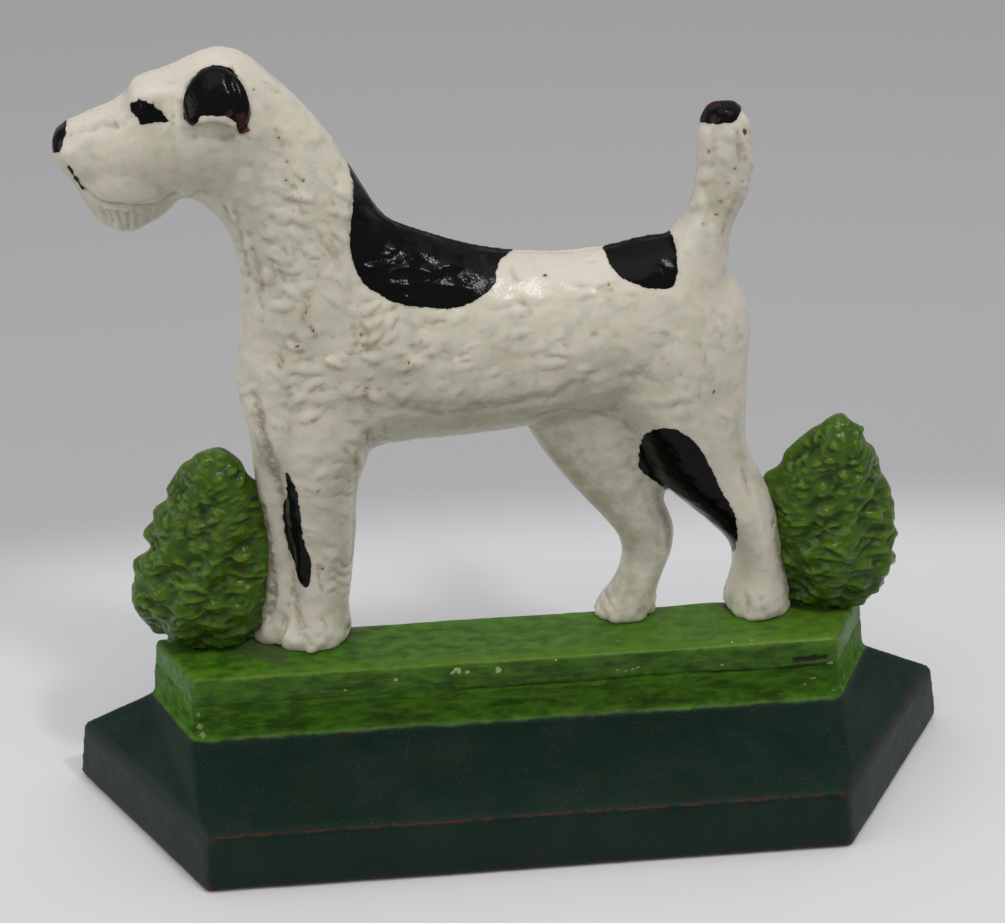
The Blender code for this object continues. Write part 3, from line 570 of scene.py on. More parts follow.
class Casting:
    """A finely meshed piece that is shaped by heights along its normals."""

    def __init__(self, piece):
        self.mesh = piece.data
        self.points, self.normals = read_points(self.mesh)
        self.edges = read_edges(self.mesh)
        self.plan = self.points[:, [0, 2]]
        self.forward = back_y - self.points[:, 1]
        self.height = np.zeros(len(self.points))
        self.tree = BVHTree.FromPolygons(
            [Vector(p) for p in self.points], [tuple(f.vertices) for f in self.mesh.polygons])
        self.front = ~self.seen_from_behind()

    def lumps(self, size, seed):
        return lumps(self.points, size, seed)

    def bulge(self, passes):
        """How far each point stands proud of its surroundings, in mm, and below 0 in a hollow."""
        around = neighbour_mean(self.points, self.edges, passes)
        return np.einsum("ij,ij->i", self.points - around, self.normals)

    def seen_from_behind(self):
        """Marks the points of the back and of the hollow in it."""
        behind = np.zeros(len(self.points), dtype=bool)
        toward = Vector((0, -1, 0))
        start = back_y + 5
        reach = 0.4
        flat_within = 0.05
        for i in np.flatnonzero(self.normals[:, 1] > -0.2):
            x, y, z = self.points[i]
            hit = self.tree.ray_cast(Vector((x, start, z)), toward)[0]
            behind[i] = hit is not None and abs(hit.y - y) < reach and y < back_y + reach
        return behind & (self.normals[:, 1] > 0.1) | (self.points[:, 1] > back_y - flat_within)

    def surface_at(self, pixel):
        """The point that a pixel of the photograph shows, or one near the back if it misses."""
        ray = photo_ray(pixel)
        hit = self.tree.ray_cast(camera_place, ray)[0]
        if hit is None:
            hit = camera_place + ray * ((back_y - MISSED_FORWARD - camera_place.y) / ray.y)
        return np.array(hit)

    def seen_at(self, pixel):
        """The same point's place in the front view."""
        return self.surface_at(pixel)[[0, 2]]

    def line(self, pixels):
        return [self.seen_at(pixel) for pixel in pixels]

    def score(self, rows):
        """Adds ridges and grooves, which wander a little and swell and fade along their way."""
        wander = np.stack([self.lumps(5, 31), self.lumps(5, 32)], axis=1)
        plan = self.plan + LINE_WANDER * wander
        swell = np.clip(0.85 + 0.6 * self.lumps(7, 33), 0.15, 1.4)
        for half_width, height, *lines in rows:
            for pixels in lines:
                gap = line_distance(plan, self.line(pixels)) / half_width
                self.height += height * swell * np.exp(-gap ** 2) * self.front

    def spots(self, rows, core, rim):
        """Marks round places: 1 within core and 0 beyond rim, as shares of each radius."""
        amount = np.zeros(len(self.points))
        ragged = 1 + 0.45 * self.lumps(1.4, 28) + 0.35 * self.lumps(3.1, 29)
        for radius, strength, *pixels in rows:
            for pixel in pixels:
                gap = np.linalg.norm(self.points - self.surface_at(pixel), axis=1) * ragged
                amount = np.maximum(amount, strength * ease(radius * rim, radius * core, gap))
        return amount * self.front

    def streaks(self, rows, reach):
        """Marks lines: full along them and 0 beyond reach times their half width."""
        amount = np.zeros(len(self.points))
        for half_width, strength, *lines in rows:
            for pixels in lines:
                gap = line_distance(self.plan, self.line(pixels))
                amount = np.maximum(amount, strength * ease(half_width * reach, 0, gap))
        return amount * self.front

    def store(self, **marks):
        """Keeps numbers for each point, for the materials to read."""
        for name, values in marks.items():
            attribute = self.mesh.attributes.new(name, "FLOAT", "POINT")
            attribute.data.foreach_set("value", np.asarray(values, dtype=np.float32))

    def press(self):
        """Moves the points by their heights and keeps them in front of the flat back."""
        self.points += self.normals * self.height[:, None]
        self.points[:, 1] = np.minimum(self.points[:, 1], back_y)
        write_points(self.mesh, self.points)
        self.points, self.normals = read_points(self.mesh)


def coat_guides(dog):
    """The lie in radians and the strength of the coat at each point."""
    lie = np.zeros(len(dog.plan))
    amount = np.zeros(len(dog.plan))
    total = np.zeros(len(dog.plan))
    for pixel, degrees, strength in COAT:
        gap = dog.plan - dog.seen_at(pixel)
        weight = 1 / (np.einsum("ij,ij->i", gap, gap) + COAT_REACH ** 2 / 4) ** 2
        lie += weight * math.radians(degrees)
        amount += weight * strength
        total += weight
    return lie / total, amount / total


def coat_height(dog):
    """Curled tufts that lie along the coat, with finer ones and broad swells among them."""
    lie, amount = coat_guides(dog)
    flat = dog.points.copy()
    flat[:, 1] *= 0.6
    wander = np.stack([lumps(flat, 6, 1), lumps(flat, 6, 3)], axis=1)
    plan = dog.plan + COAT_WANDER * wander
    plan[:, 1] -= dog.forward * 0.7
    lie = lie + COAT_TURN * lumps(flat, 9, 4)
    large = tufts(plan, lie, LARGE_TUFTS, 5)
    small = tufts(plan, lie, SMALL_TUFTS, 12)
    clumped = np.clip(1.0 + 0.6 * lumps(flat, 11, 7), 0.3, 1.5)
    fine = np.clip(0.5 + 0.9 * lumps(flat, 9, 17), 0, 1.2)
    swell = 0.35 * lumps(flat, 5, 8) + 0.45 * lumps(flat, 11, 18)
    shape = 0.92 * large * clumped + 0.45 * small * fine
    return TUFT_RELIEF * (amount * shape + np.minimum(amount * 2, 1) * swell)


def patch_distance(dog):
    """Distance in mm from the nearest black patch as the camera sees it, below 0 inside one."""
    seen, scale = picture_place(dog.points)
    distance = np.full(len(seen), FAR_FROM_PATCH)
    for outline in PATCHES:
        curve = rounded(np.array(outline, dtype=float))
        distance = np.minimum(distance, outline_distance(seen, curve) / scale)
    for half_width, *lines in BLACK_STROKES:
        for pixels in lines:
            stroke = line_distance(seen, np.array(pixels, dtype=float)) / scale - half_width
            distance = np.minimum(distance, stroke)
    near_front = neighbour_mean(dog.front[:, None].astype(float), dog.edges, 4)[:, 0]
    return np.where(near_front > 0.01, distance, FAR_FROM_PATCH)


def shape_dog(dog):
    """Raises the folds, the coat, knobbly toes and the far front paw's spread."""
    dog.score(RELIEF_LINES)
    proud = ease(RIM_WIDTH * 0.7, RIM_WIDTH * 1.2, dog.forward) * dog.front
    dog.height += coat_height(dog) * proud + RIM_STEP * proud
    dog.height += SKIN_RELIEF * dog.lumps(2.4, 9) * dog.front
    above_slab = dog.points[:, 2] - slab_top
    foot = ease(TOES_BELOW, TOES_BELOW * 0.2, above_slab) * dog.front
    dog.height += TOE_RELIEF * dog.lumps(2.6, 27) * foot
    far_front = dog.seen_at(FAR_FRONT_PAW)
    spread = ease(SPREAD_REACH, 0, np.hypot(*(dog.plan - far_front).T))
    leftward = ease(-0.2, -0.8, dog.normals[:, 0])
    dog.height += PAW_SPREAD * spread * leftward * dog.front


def dog_marks(dog):
    """How rusty, stained and dirty each point is, with the painted shade that the stains and dirty
    lines carry, from 0 to 1.
    """
    rust = dog.spots(RUST_SPOTS, core=0.4, rim=1.5)
    rust = np.maximum(rust, SMEAR_STRENGTH * dog.streaks(SMEARS, reach=2.2))
    # A line of dirt and painted contact shade at the foot of the paws.
    starts, full, strength = PAW_DIRT
    at_paws = strength * ease(starts, full, dog.points[:, 2] - slab_top) * dog.front
    dirt = np.maximum(dog.streaks(DIRTY_LINES, reach=1.8), at_paws)
    return {"rust": rust, "stain": dog.spots(STAINS, core=0.1, rim=1.3), "dirt": dirt}


def make_dog():
    piece = fine_copy("dog_casting", "dog", voxel=0.65, passes=14)
    dog = Casting(piece)
    shape_dog(dog)
    dog.store(**dog_marks(dog))
    dog.press()
    hollow = -dog.bulge(10)
    crack = -dog.bulge(3)
    # Hollows of the relief take grime and painted shade; raised crests take a painted highlight.
    grime = np.maximum(ease(0.0, 0.16, hollow), ease(0.005, 0.05, crack))
    crest = ease(0.02, 0.14, -hollow)
    distance = patch_distance(dog)
    dog.store(patch=distance, grime=grime, crest=crest, behind=~dog.front)
    hand_over(piece, "dog_casting", cream_paint())


def clean_cream(paint):
    """Cream in patches that lean to pink, yellow and grey, paler above as painted light and duller
    beneath as painted shade with some soiling.
    """
    paint.colour = paint.mix(paint.noise(26, 3), (0.628, 0.574, 0.467), (0.602, 0.581, 0.472))
    pink = paint.patches(6, 3, 0.5, 0.72)
    paint.tint(pink, 0.55, (0.61, 0.51, 0.405))
    yellow = paint.patches(4.6, 3, 0.52, 0.7, stretch=(1.3, 1, 0.9))
    paint.tint(yellow, 0.5, (0.6, 0.565, 0.395))
    cool = paint.patches(5.5, 4, 0.52, 0.7)
    paint.tint(cool, 0.5, (0.41, 0.425, 0.36))
    # Painted light: up-facing surfaces are drawn paler and pinker.
    above = paint.step(paint.facing("Z"), 0.35, 0.85)
    paint.tint(above, 0.7, (0.645, 0.58, 0.505))
    # Painted shade, partly soiling: down-facing surfaces are drawn darker and greener.
    below = paint.step(paint.facing("Z"), 0.25, -0.55)
    paint.tint(below, 0.5, (0.4, 0.39, 0.28))


def soil(paint, grime):
    """Lays on stains, soiling along folds and at the paws and soiling in the hollows, all partly
    painted shade, then a painted highlight on raised crests and brown specks.
    """
    # Stains that are partly dirt and partly painted shade.
    stain = paint.times(paint.stored("stain"), paint.patches(3.4, 4, 0.1, 0.65))
    paint.tint(stain, 0.68, (0.28, 0.268, 0.178))
    # Brown dirt that is partly painted shade, along folds, between parts and at the paws.
    dirt = paint.times(paint.stored("dirt"), paint.patches(1.8, 4, 0.3, 0.6))
    paint.tint(dirt, 0.8, (0.17, 0.12, 0.065))
    # Grime and painted shade in the hollows of the relief.
    paint.tint(grime, 0.56, (0.24, 0.21, 0.125))
    # Painted highlight: raised crests are drawn paler.
    paint.tint(paint.stored("crest"), 0.35, (0.7, 0.655, 0.545))
    speckle = paint.times(paint.patches(0.8, 3, 0.68, 0.75), paint.patches(9, 2, 0.42, 0.62))
    paint.tint(speckle, 0.55, (0.22, 0.13, 0.06))
    streak = paint.times(paint.patches(1.1, 4, 0.64, 0.72, stretch=(1, 1, 3)),
                         paint.patches(14, 2, 0.5, 0.66))
    paint.tint(streak, 0.4, (0.36, 0.21, 0.11))


def cream_paint():
    paint = Paint("cream_and_black_enamel")
    # The hollows' grime and painted shade, broken up by noise.
    grime = paint.times(paint.stored("grime"), paint.patches(2.4, 4, 0.28, 0.6))
    clean_cream(paint)
    soil(paint, grime)
    rust = paint.stored("rust")
    halo = paint.times(rust, paint.patches(1.5, 3, 0.2, 0.7))
    paint.cover(halo, (0.27, 0.15, 0.075))
    edge = paint.plus(paint.stored("patch"), paint.wander(2.0, 4, 1.4))
    thin = paint.step(edge, GLAZE_ROUND_PATCH, 0.0)
    paint.tint(thin, 0.25, (0.28, 0.24, 0.18))
    black = paint.step(edge, 0.14, -0.06)
    paint.cover(black, (0.002, 0.002, 0.0024))
    core = paint.step(paint.plus(rust, paint.noise(1.0, 4)), 1.16, 1.36)
    paint.tint(core, 0.85, (0.038, 0.011, 0.007))
    worn = paint.times(paint.patches(13, 5, 0.42, 0.7), paint.stored("behind"))
    paint.tint(worn, 0.6, (0.24, 0.19, 0.13))

    dull = paint.times(paint.step(paint.facing("Z"), 0.7, 0.92), paint.patches(4, 3, 0.3, 0.55))
    roughness = paint.blend(black, paint.blend(grime, 0.27, 0.6), paint.blend(dull, 0.13, 0.5))
    roughness = paint.blend(core, roughness, 0.7)
    fine = paint.times(paint.noise(0.7, 3), 0.3)
    brushed = paint.plus(fine, paint.times(paint.noise(2.2, 3), 0.7))
    paint.bump(paint.math("SUBTRACT", brushed, paint.times(core, 0.6)), 0.2)
    gloss = paint.blend(core, paint.blend(black, 0.46, 0.11), 0.15)
    paint.feed(paint.shader.inputs["Specular IOR Level"], gloss)
    return paint.finish(roughness, specular=0.4)


# The shrubs: leaf curls over the casting's clumps

LEAF_CURLS = (3.6, 2.3, 1.9, 0.1)
LEAF_LEDGES = (4.6, 5.0, 1.9, 0.1)
SMALL_LEAVES = (2.4, 1.7, 1.1, 0.3)
CURL_RELIEF = 1.15
LEG_SIDE_SWELL = 2.0  # mm that a shrub's side grows toward the leg it meets
LEG_FOOT_SWELL = 3.5  # more of it low down, where dirt fills the corner at the paw
LEDGES_BELOW = 40.0  # mm over the slab, under which the curls draw out into ledges
SHRUB_RADIUS = 15.0
SHRUB_AXIS = 3.0  # mm that a shrub's upright axis lies behind its flat back
LEAF_WARP = 0.9
DARK_FOOT = (24.0, 2.0)  # mm over the slab where the painted shade at a shrub's foot starts and is full


def leaf_paint():
    paint = Paint("leaf_enamel")
    paint.colour = paint.mix(paint.noise(8, 3), (0.024, 0.07, 0.003), (0.056, 0.122, 0.005))
    light = paint.patches(3, 3, 0.52, 0.72)
    paint.tint(light, 0.55, (0.105, 0.175, 0.012))
    # Painted highlight on the leaf crests.
    paint.tint(paint.stored("crest"), 0.55, (0.115, 0.205, 0.01))
    # Painted shade: the shrubs are drawn darker towards the slab.
    starts, full = ((slab_top + height) * MM for height in DARK_FOOT)
    foot = paint.step(paint.axis(paint.place, "Z"), starts, full)
    paint.tint(foot, 0.5, (0.01, 0.034, 0.002))
    # Grime and painted shade in the leaf creases.
    deep = paint.stored("grime")
    paint.tint(deep, 0.78, (0.006, 0.018, 0.002))
    rusty = paint.patches(3.2, 4, 0.61, 0.7)
    paint.tint(rusty, 0.5, (0.08, 0.045, 0.014))
    fleck = paint.patches(0.8, 2, 0.7, 0.75)
    paint.tint(fleck, 0.5, (0.26, 0.3, 0.12))
    paint.bump(paint.noise(0.9, 3), 0.18)
    return paint.finish(paint.blend(deep, 0.13, 0.6), specular=0.24)


def calm_leg_side(mesh):
    """Rounds off the clumps near the back on the side that meets a leg, and swells that side."""
    points, _ = read_points(mesh)
    x = points[:, 0]
    middle = (x.min() + x.max()) / 2
    toward_leg = ease(2, 12, (middle - x) * np.sign(middle))
    calm = toward_leg * ease(12, 3, back_y - points[:, 1])
    even = neighbour_mean(points, read_edges(mesh), 45)
    foot = ease(14, 4, points[:, 2] - slab_top)
    even[:, 0] -= np.sign(middle) * (LEG_SIDE_SWELL + LEG_FOOT_SWELL * foot)
    even[:, 1] = points[:, 1]
    write_points(mesh, points + (even - points) * calm[:, None])


def make_shrub(node, material):
    piece = fine_copy(node, node + "_leaves", voxel=0.5, passes=11)
    calm_leg_side(piece.data)
    shrub = Casting(piece)
    x, _, z = shrub.points.T
    middle = (x.min() + x.max()) / 2
    around = np.arctan2(x - middle, shrub.forward + SHRUB_AXIS) * SHRUB_RADIUS
    plan = np.stack([around + LEAF_WARP * shrub.lumps(5, 1),
                     z + LEAF_WARP * shrub.lumps(5, 2)], axis=1)
    level = 0.5 * shrub.lumps(12, 3)
    clear_of_back = ease(0.8, 6.0, shrub.forward) * shrub.front
    low = ease(slab_top + LEDGES_BELOW, slab_top + LEDGES_BELOW * 0.5, z)
    curls = tufts(plan, level, LEAF_CURLS, 12) * (1 - 0.45 * low)
    ledges = tufts(plan, level, LEAF_LEDGES, 20) * (0.2 + 0.5 * low)
    shape = curls + ledges + 0.35 * tufts(plan, level, SMALL_LEAVES, 15) - 0.4
    shrub.height += CURL_RELIEF * shape * clear_of_back
    shrub.press()
    hollow = -shrub.bulge(9)
    shrub.store(grime=ease(-0.02, 0.21, hollow), crest=ease(0.02, 0.18, -hollow))
    hand_over(piece, node, material)


# The turf slab and the stepped base. Where they meet each runs a little into the other, for
# the paint has closed most of the seam, and a worn groove marks it.

SEAM_OVERLAP = 1.2
SEAM_OPENS = (-60, 20)  # mm along X over which the seam opens
STEP_HEIGHT = 10.0
BAND_HEIGHT = 18.0
SEAM_WITHIN = 0.3  # mm of the seam within which a point is part of the joint face
WALLS_FORWARD = 23.4  # mm in front of the back, past which lie front walls and no holes
TURF_DRAFT = 0.14
STEP_DRAFT = 0.11
seam_height = (deck_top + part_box("turf_slab")[0][2] / MM) / 2
slope_top = deck_top - STEP_HEIGHT

# Nicks and chips: radius in mm, strength, then the places
NICKS = (
    (0.41, 0.9, (556, 660)), (0.54, 0.9, (617, 640), (732, 642), (752, 640), (345, 690)),
    (0.54, 1, (459, 672), (467, 672), (722, 665)), (0.68, 1, (396, 679), (452, 673), (498, 670)),
    (0.94, 1, (830, 664)),
)
CHIPS = (
    (0.5, 0.9, (834, 690)), (0.6, 0.9, (813, 678)), (0.6, 1, (806, 685)), (0.7, 1, (198, 715)),
    (0.9, 1, (203, 735)), (1.2, 1, (199, 727)),
)

# A rusty pocket and a scrape in the turf's front: half width in mm, then the line
POCKET = (0.85, ((796, 660), (825, 657)))
SCRAPE = (0.5, ((617, 670), (628, 671), (640, 667)))
POCKET_DEPTH = 0.35
NICK_DEPTH = 0.2
BROW_WIDTH = 5.0  # mm of the turf's top, behind its front edge, that takes a painted yellow highlight

# Grime on the turf round the paws: radius in mm, strength, then the places
TURF_GRIME = (
    (4, 0.6, (655, 612)), (4, 0.7, (725, 605)), (4, 0.8, (352, 632)), (5, 0.6, (598, 610)),
    (5, 0.7, (795, 600)), (5, 0.9, (244, 642)), (6, 0.6, (180, 645), (815, 606)),
    (6, 0.9, (280, 656)), (7, 1.0, (258, 650)),
)


def run_past_seam(points, direction, draft):
    """Moves the joint face of a block past the seam, along its drafted sides."""
    seam = points[:, 2] * direction > seam_height * direction - SEAM_WITHIN
    outer = points[:, 1] < back_y - WALLS_FORWARD
    points[seam, 2] += SEAM_OVERLAP * direction
    points[seam & outer, 1] += SEAM_OVERLAP * draft * direction
    return points


def brush_turf(paint):
    """Brushed-on green, dry and dirty in patches, darker on its front faces as painted shade,
    smudged in front and dark in the seam.
    """
    streaks = paint.patches(2.2, 5, 0.28, 0.72, stretch=(2.4, 1.3, 1))
    paint.colour = paint.mix(streaks, (0.022, 0.086, 0.004), (0.074, 0.188, 0.01))
    broad = paint.patches(16, 3, 0.35, 0.7, stretch=(2, 1, 1))
    paint.tint(broad, 0.5, (0.046, 0.135, 0.008))
    dry = paint.patches(1.3, 4, 0.56, 0.7, stretch=(1.6, 1, 1))
    paint.tint(dry, 0.35, (0.12, 0.175, 0.025))
    dirty = paint.patches(3.2, 5, 0.52, 0.68, stretch=(1.7, 1, 1))
    paint.tint(dirty, 0.5, (0.016, 0.034, 0.004))
    # Painted shade: front faces are drawn darker; smudges and scrapes also keep to them.
    upright = paint.step(paint.facing("Y"), -0.6, -0.95)
    paint.tint(upright, 0.3, (0.014, 0.028, 0.005))
    smudge = paint.times(upright, paint.patches(5, 4, 0.5, 0.64, stretch=(3, 1, 0.7)))
    paint.tint(smudge, 0.5, (0.012, 0.026, 0.004))
    scrape = paint.times(upright, paint.patches(1.9, 4, 0.61, 0.7, stretch=(5, 1, 0.5)))
    paint.tint(scrape, 0.45, (0.13, 0.15, 0.03))

    height = paint.axis(paint.place, "Z")
    gap = paint.apart(paint.plus(height, paint.wander(7, 3, 1.4 * MM)), seam_height * MM)
    starts, full = (x * MM for x in SEAM_OPENS)
    rightward = paint.step(paint.axis(paint.place, "X"), starts, full)
    open_here = paint.patches(11, 3, 0.44, 0.6, stretch=(1.5, 1, 1))
    open_here = paint.times(open_here, paint.blend(rightward, 0.25, 1.0))
    line = paint.times(paint.step(gap, 0.45 * MM, 0.15 * MM), open_here)
    paint.tint(line, 0.8, (0.01, 0.012, 0.004))


def chipped(paint):
    """The stored nicks with ragged edges."""
    return paint.step(paint.plus(paint.stored("nick"), paint.noise(0.9, 4)), 0.95, 1.25)


def turf_paint():
    paint = Paint("turf_enamel")
    brush_turf(paint)
    worn = paint.times(paint.step(paint.axis(paint.place, "X"), -60 * MM, 90 * MM),
                       paint.step(paint.facing("Z"), 0.5, 0.9))
    paint.tint(worn, 0.28, (0.13, 0.235, 0.03))
    # Painted highlight along the top front edge.
    brow = paint.times(paint.stored("brow"), paint.patches(8, 3, 0.2, 0.6))
    paint.tint(brow, 0.6, (0.115, 0.2, 0.012))
    # Convex edges, drawn lighter and yellower as a painted highlight; the chip flecks also lie
    # there.
    rubbed = paint.times(paint.stored("edge"), paint.patches(5, 3, 0.3, 0.6))
    paint.tint(rubbed, 0.15, (0.13, 0.2, 0.02))
    fleck = paint.times(paint.patches(0.9, 3, 0.62, 0.7), rubbed)
    nick = paint.math("MAXIMUM", paint.times(fleck, 0.6), chipped(paint))
    paint.tint(nick, 0.8, (0.38, 0.42, 0.2))
    grime = paint.times(paint.stored("dirt"), paint.patches(3, 4, 0.25, 0.6))
    paint.tint(grime, 0.85, (0.068, 0.068, 0.038))
    paint.cover(paint.stored("rust"), (0.014, 0.01, 0.005))
    paint.bump(paint.noise(1.6, 4, stretch=(2.2, 1.2, 1)), 0.3)
    return paint.finish(0.36, specular=0.2)


def brush_dark_green(paint, dusty):
    """The base's dark green with dust, brown stains and fine specks, drawn greyer and lighter on
    its steep faces and its ends as painted light and reflection.
    """
    paint.colour = paint.mix(paint.noise(14, 3), (0.0035, 0.0135, 0.0085), (0.0065, 0.0215, 0.0145))
    paint.tint(dusty, 0.14, (0.04, 0.05, 0.042))
    brown = paint.patches(9, 5, 0.54, 0.72, stretch=(1.5, 1, 1))
    paint.tint(brown, 0.35, (0.018, 0.016, 0.01))
    speck = paint.times(paint.patches(0.55, 3, 0.6, 0.72), paint.patches(10, 4, 0.34, 0.66))
    paint.tint(speck, 0.42, (0.105, 0.095, 0.07))
    # Painted light: steep faces are drawn lighter and greyer.
    upright = paint.step(paint.facing("Z"), 0.45, 0.2)
    paint.tint(upright, 0.35, (0.017, 0.028, 0.023))
    # Painted reflection, with some dust: the end faces are drawn lighter and greyer.
    end = paint.step(paint.math("ABSOLUTE", paint.facing("X")), 0.3, 0.6)
    paint.tint(end, 0.5, (0.034, 0.043, 0.039))


def bare_primer(paint, height):
    """Where red primer shows: on edges, on the lower corners and along the band's upper crease."""
    wandering = paint.plus(height, paint.wander(4, 3, 1.0 * MM))
    crease = paint.step(paint.apart(wandering, (BAND_HEIGHT - 0.2) * MM), 0.36 * MM, 0.12 * MM)
    crease = paint.times(crease, paint.patches(4, 5, 0.36, 0.6))
    leftward = paint.step(paint.facing("X"), -0.35, -0.6)
    crease = paint.times(crease, paint.blend(leftward, 1.0, 0.2))
    crease = paint.times(crease, paint.step(paint.facing("Y"), 0.6, 0.3))
    edge = paint.times(paint.stored("edge"), paint.patches(2.5, 4, 0.38, 0.54))
    corner = paint.times(paint.stored("corner"), paint.patches(3, 4, 0.32, 0.5))
    return paint.math("MAXIMUM", paint.math("MAXIMUM", edge, corner), crease)


def base_paint():
    paint = Paint("base_enamel")
    height = paint.axis(paint.place, "Z")
    dusty = paint.patches(20, 5, 0.42, 0.7)
    brush_turf(paint)
    green = paint.colour
    brush_dark_green(paint, dusty)
    paint.tint(bare_primer(paint, height), 0.75, (0.085, 0.022, 0.016))
    level = paint.plus(height, paint.wander(7, 3, 1.0 * MM))
    above = paint.step(level, (slope_top - 0.3) * MM, (slope_top + 0.3) * MM)
    paint.cover(above, green)
    rim_gap = paint.apart(level, (slope_top + 0.2) * MM)
    rim = paint.times(paint.step(rim_gap, 0.7 * MM, 0.2 * MM), paint.patches(3, 3, 0.35, 0.6))
    paint.tint(rim, 0.22, (0.1, 0.13, 0.06))
    paint.tint(chipped(paint), 0.7, (0.26, 0.29, 0.12))
    bare = paint.step(paint.facing("Z"), -0.3, -0.7)
    paint.cover(bare, (0.05, 0.035, 0.025))
    grain = paint.plus(paint.times(paint.noise(0.8, 3), 0.4), paint.noise(3, 3))
    paint.bump(grain, 0.2)
    return paint.finish(paint.blend(dusty, 0.4, 0.55), specular=0.08)


def seam_groove(casting):
    """A shallow groove along the seam that comes and goes."""
    gap = (casting.points[:, 2] - seam_height + 0.4 * casting.lumps(6, 25)) / 0.6
    open_share = 0.15 + 0.85 * ease(*SEAM_OPENS, casting.points[:, 0])
    depth = np.clip(0.12 + 0.25 * casting.lumps(13, 26), 0, 0.4)
    return -depth * open_share * np.exp(-gap * gap)


def make_turf():
    piece = fine_copy("turf_slab", "turf", voxel=0.55, passes=45,
                      reshape=lambda points: run_past_seam(points, -1, TURF_DRAFT))
    turf = Casting(piece)
    turf.height += 0.2 * turf.lumps(9, 21) + 0.1 * turf.lumps(3, 22) + seam_groove(turf)
    nick = turf.spots(NICKS + CHIPS, core=0.6, rim=1.3)
    dirt = turf.spots(TURF_GRIME, core=0.1, rim=1.3)
    faces_front = turf.normals[:, 1] < -0.5
    half_width, pixels = POCKET
    gap = line_distance(turf.plan, turf.line(pixels))
    gap = gap * (1 + 0.4 * turf.lumps(2.0, 30))
    pocket = ease(half_width * 1.3, half_width * 0.5, gap) * faces_front
    half_width, pixels = SCRAPE
    gap = line_distance(turf.plan, turf.line(pixels))
    scrape = ease(half_width * 1.4, half_width * 0.4, gap) * faces_front
    turf.height -= POCKET_DEPTH * pocket + NICK_DEPTH * nick
    turf.press()
    proud = turf.bulge(8)
    front_edge = turf.points[turf.points[:, 2] > slab_top - 0.6, 1].min()
    # The band behind the top front edge that takes a painted highlight.
    brow = ease(BROW_WIDTH, 0, turf.points[:, 1] - front_edge)
    brow *= ease(0.5, 0.9, turf.normals[:, 2])
    nick = np.maximum(nick, 0.6 * scrape)
    turf.store(edge=ease(0.05, 0.22, proud), brow=brow, nick=nick, dirt=dirt, rust=pocket)
    hand_over(piece, "turf_slab", turf_paint())


def make_base():
    piece = fine_copy("base_casting", "base", voxel=0.9, passes=3,
                      reshape=lambda points: run_past_seam(points, 1, STEP_DRAFT))
    base = Casting(piece)
    base.height += 0.16 * base.lumps(14, 23) + 0.06 * base.lumps(3.5, 24) + seam_groove(base)
    nick = base.spots(CHIPS, core=0.6, rim=1.3)
    base.press()
    proud = base.bulge(6)
    band = base.points[:, 2] < BAND_HEIGHT
    front = band & (base.points[:, 1] < base.points[band, 1].min() + 0.6)
    ends = base.points[front, 0].min(), base.points[front, 0].max()
    off_corner = np.min([np.abs(base.points[:, 0] - end) for end in ends], axis=0)
    corner = ease(0.9, 0.3, off_corner) * front
    base.store(corner=corner, edge=ease(0.12, 0.3, proud), nick=nick)
    hand_over(piece, "base_casting", base_paint())


# Screws and washers keep their CAD shapes


def screw_steel():
    paint = Paint("dull_steel")
    paint.colour = paint.mix(paint.noise(1.2, 4), (0.3, 0.28, 0.26), (0.18, 0.15, 0.12))
    rusty = paint.patches(2, 4, 0.55, 0.68)
    paint.tint(rusty, 0.6, (0.16, 0.07, 0.03))
    paint.bump(paint.noise(0.4, 3), 0.04)
    return paint.finish(paint.blend(rusty, 0.38, 0.7), metallic=1.0)


def dress_fasteners():
    steel = screw_steel()
    for name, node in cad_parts.items():
        if name.endswith(("_screw", "_washer")):
            dress(node, steel)


# Floor, light and camera

FLOOR_REACH = 6000.0
PALE_REACH = (128.0, 188.0)  # mm behind and before the object where the pale floor turns grey
PALE_STRETCH = 2.6  # how much farther that is to the sides

# Lamps: place, aim and size in mm, then power in watts
OVERHEAD = ((0, -150, 1300), (0, -20, 0), (1100, 1100), 4.4)
KEY = ((330, -350, 930), (0, 10, 120), (90, 90), 2.1)
SIDE = ((-1100, -350, 500), (0, 0, 80), (700, 700), 3.0)
SKY = 0.5


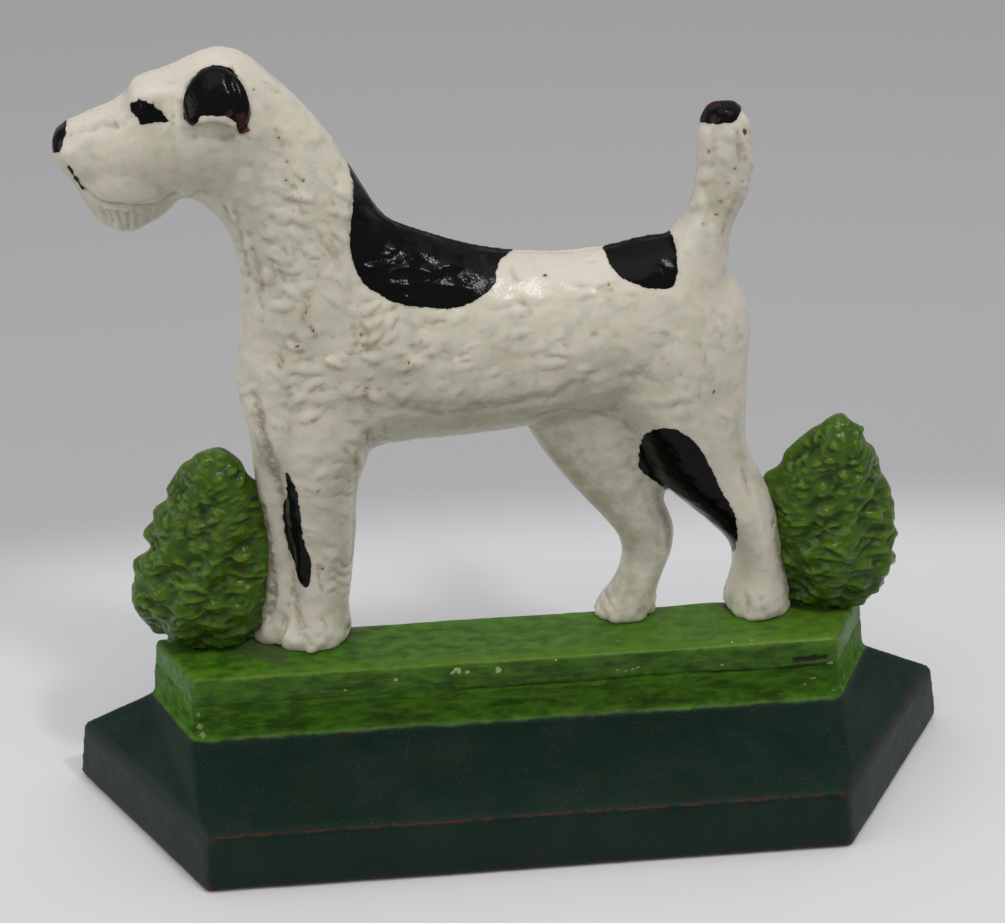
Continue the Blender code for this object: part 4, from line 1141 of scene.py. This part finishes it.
def make_stage():
    mesh = bpy.data.meshes.new("floor")
    half = FLOOR_REACH * MM
    corners = [(-half, -half, 0), (half, -half, 0), (half, half, 0), (-half, half, 0)]
    mesh.from_pydata(corners, [], [(0, 1, 2, 3)])
    floor = bpy.data.objects.new("floor", mesh)
    bpy.context.scene.collection.objects.link(floor)
    paint = Paint("pale_floor")
    paint.colour = paint.mix(paint.noise(60, 2), (0.72, 0.72, 0.74), (0.75, 0.75, 0.77))
    place = paint.stretched(1, (PALE_STRETCH, 1, 1))
    reach = paint.add("VectorMath", {0: place}, operation="LENGTH")["Value"]
    grey = paint.step(reach, *PALE_REACH)
    paint.cover(grey, (0.47, 0.47, 0.48))
    dress(floor, paint.finish(0.85, specular=0.2))


def add_lamp(name, place, aim, size, power):
    light = bpy.data.lights.new(name, "AREA")
    light.shape = "RECTANGLE"
    light.size, light.size_y = (side * MM for side in size)
    light.energy = power
    lamp = bpy.data.objects.new(name, light)
    lamp.location = Vector(place) * MM
    lamp.rotation_euler = (Vector(aim) - Vector(place)).to_track_quat("-Z", "Y").to_euler()
    bpy.context.scene.collection.objects.link(lamp)


def make_light():
    add_lamp("overhead", *OVERHEAD)
    add_lamp("key", *KEY)
    add_lamp("side", *SIDE)
    world = bpy.data.worlds.new("studio")
    world.use_nodes = True
    sky = world.node_tree.nodes["Background"]
    sky.inputs["Color"].default_value = (1.0, 1.0, 1.0, 1.0)
    sky.inputs["Strength"].default_value = SKY
    bpy.context.scene.world = world
    bpy.context.scene.view_settings.view_transform = "Standard"


def make_camera():
    data = bpy.data.cameras.new("camera")
    data.sensor_fit = "HORIZONTAL"
    data.sensor_width = SENSOR_WIDTH
    data.lens = SENSOR_WIDTH * FOCAL_LENGTH_PX / PHOTO_WIDTH
    camera = bpy.data.objects.new("camera", data)
    turn = Matrix((camera_right, camera_up, camera_back)).transposed().to_4x4()
    camera.matrix_world = Matrix.Translation(camera_place * MM) @ turn
    bpy.context.scene.collection.objects.link(camera)
    bpy.context.scene.camera = camera


make_camera()
make_stage()
make_light()
make_dog()
leaves = leaf_paint()
make_shrub("shrub_front", leaves)
make_shrub("shrub_rear", leaves)
make_turf()
make_base()
dress_fasteners()
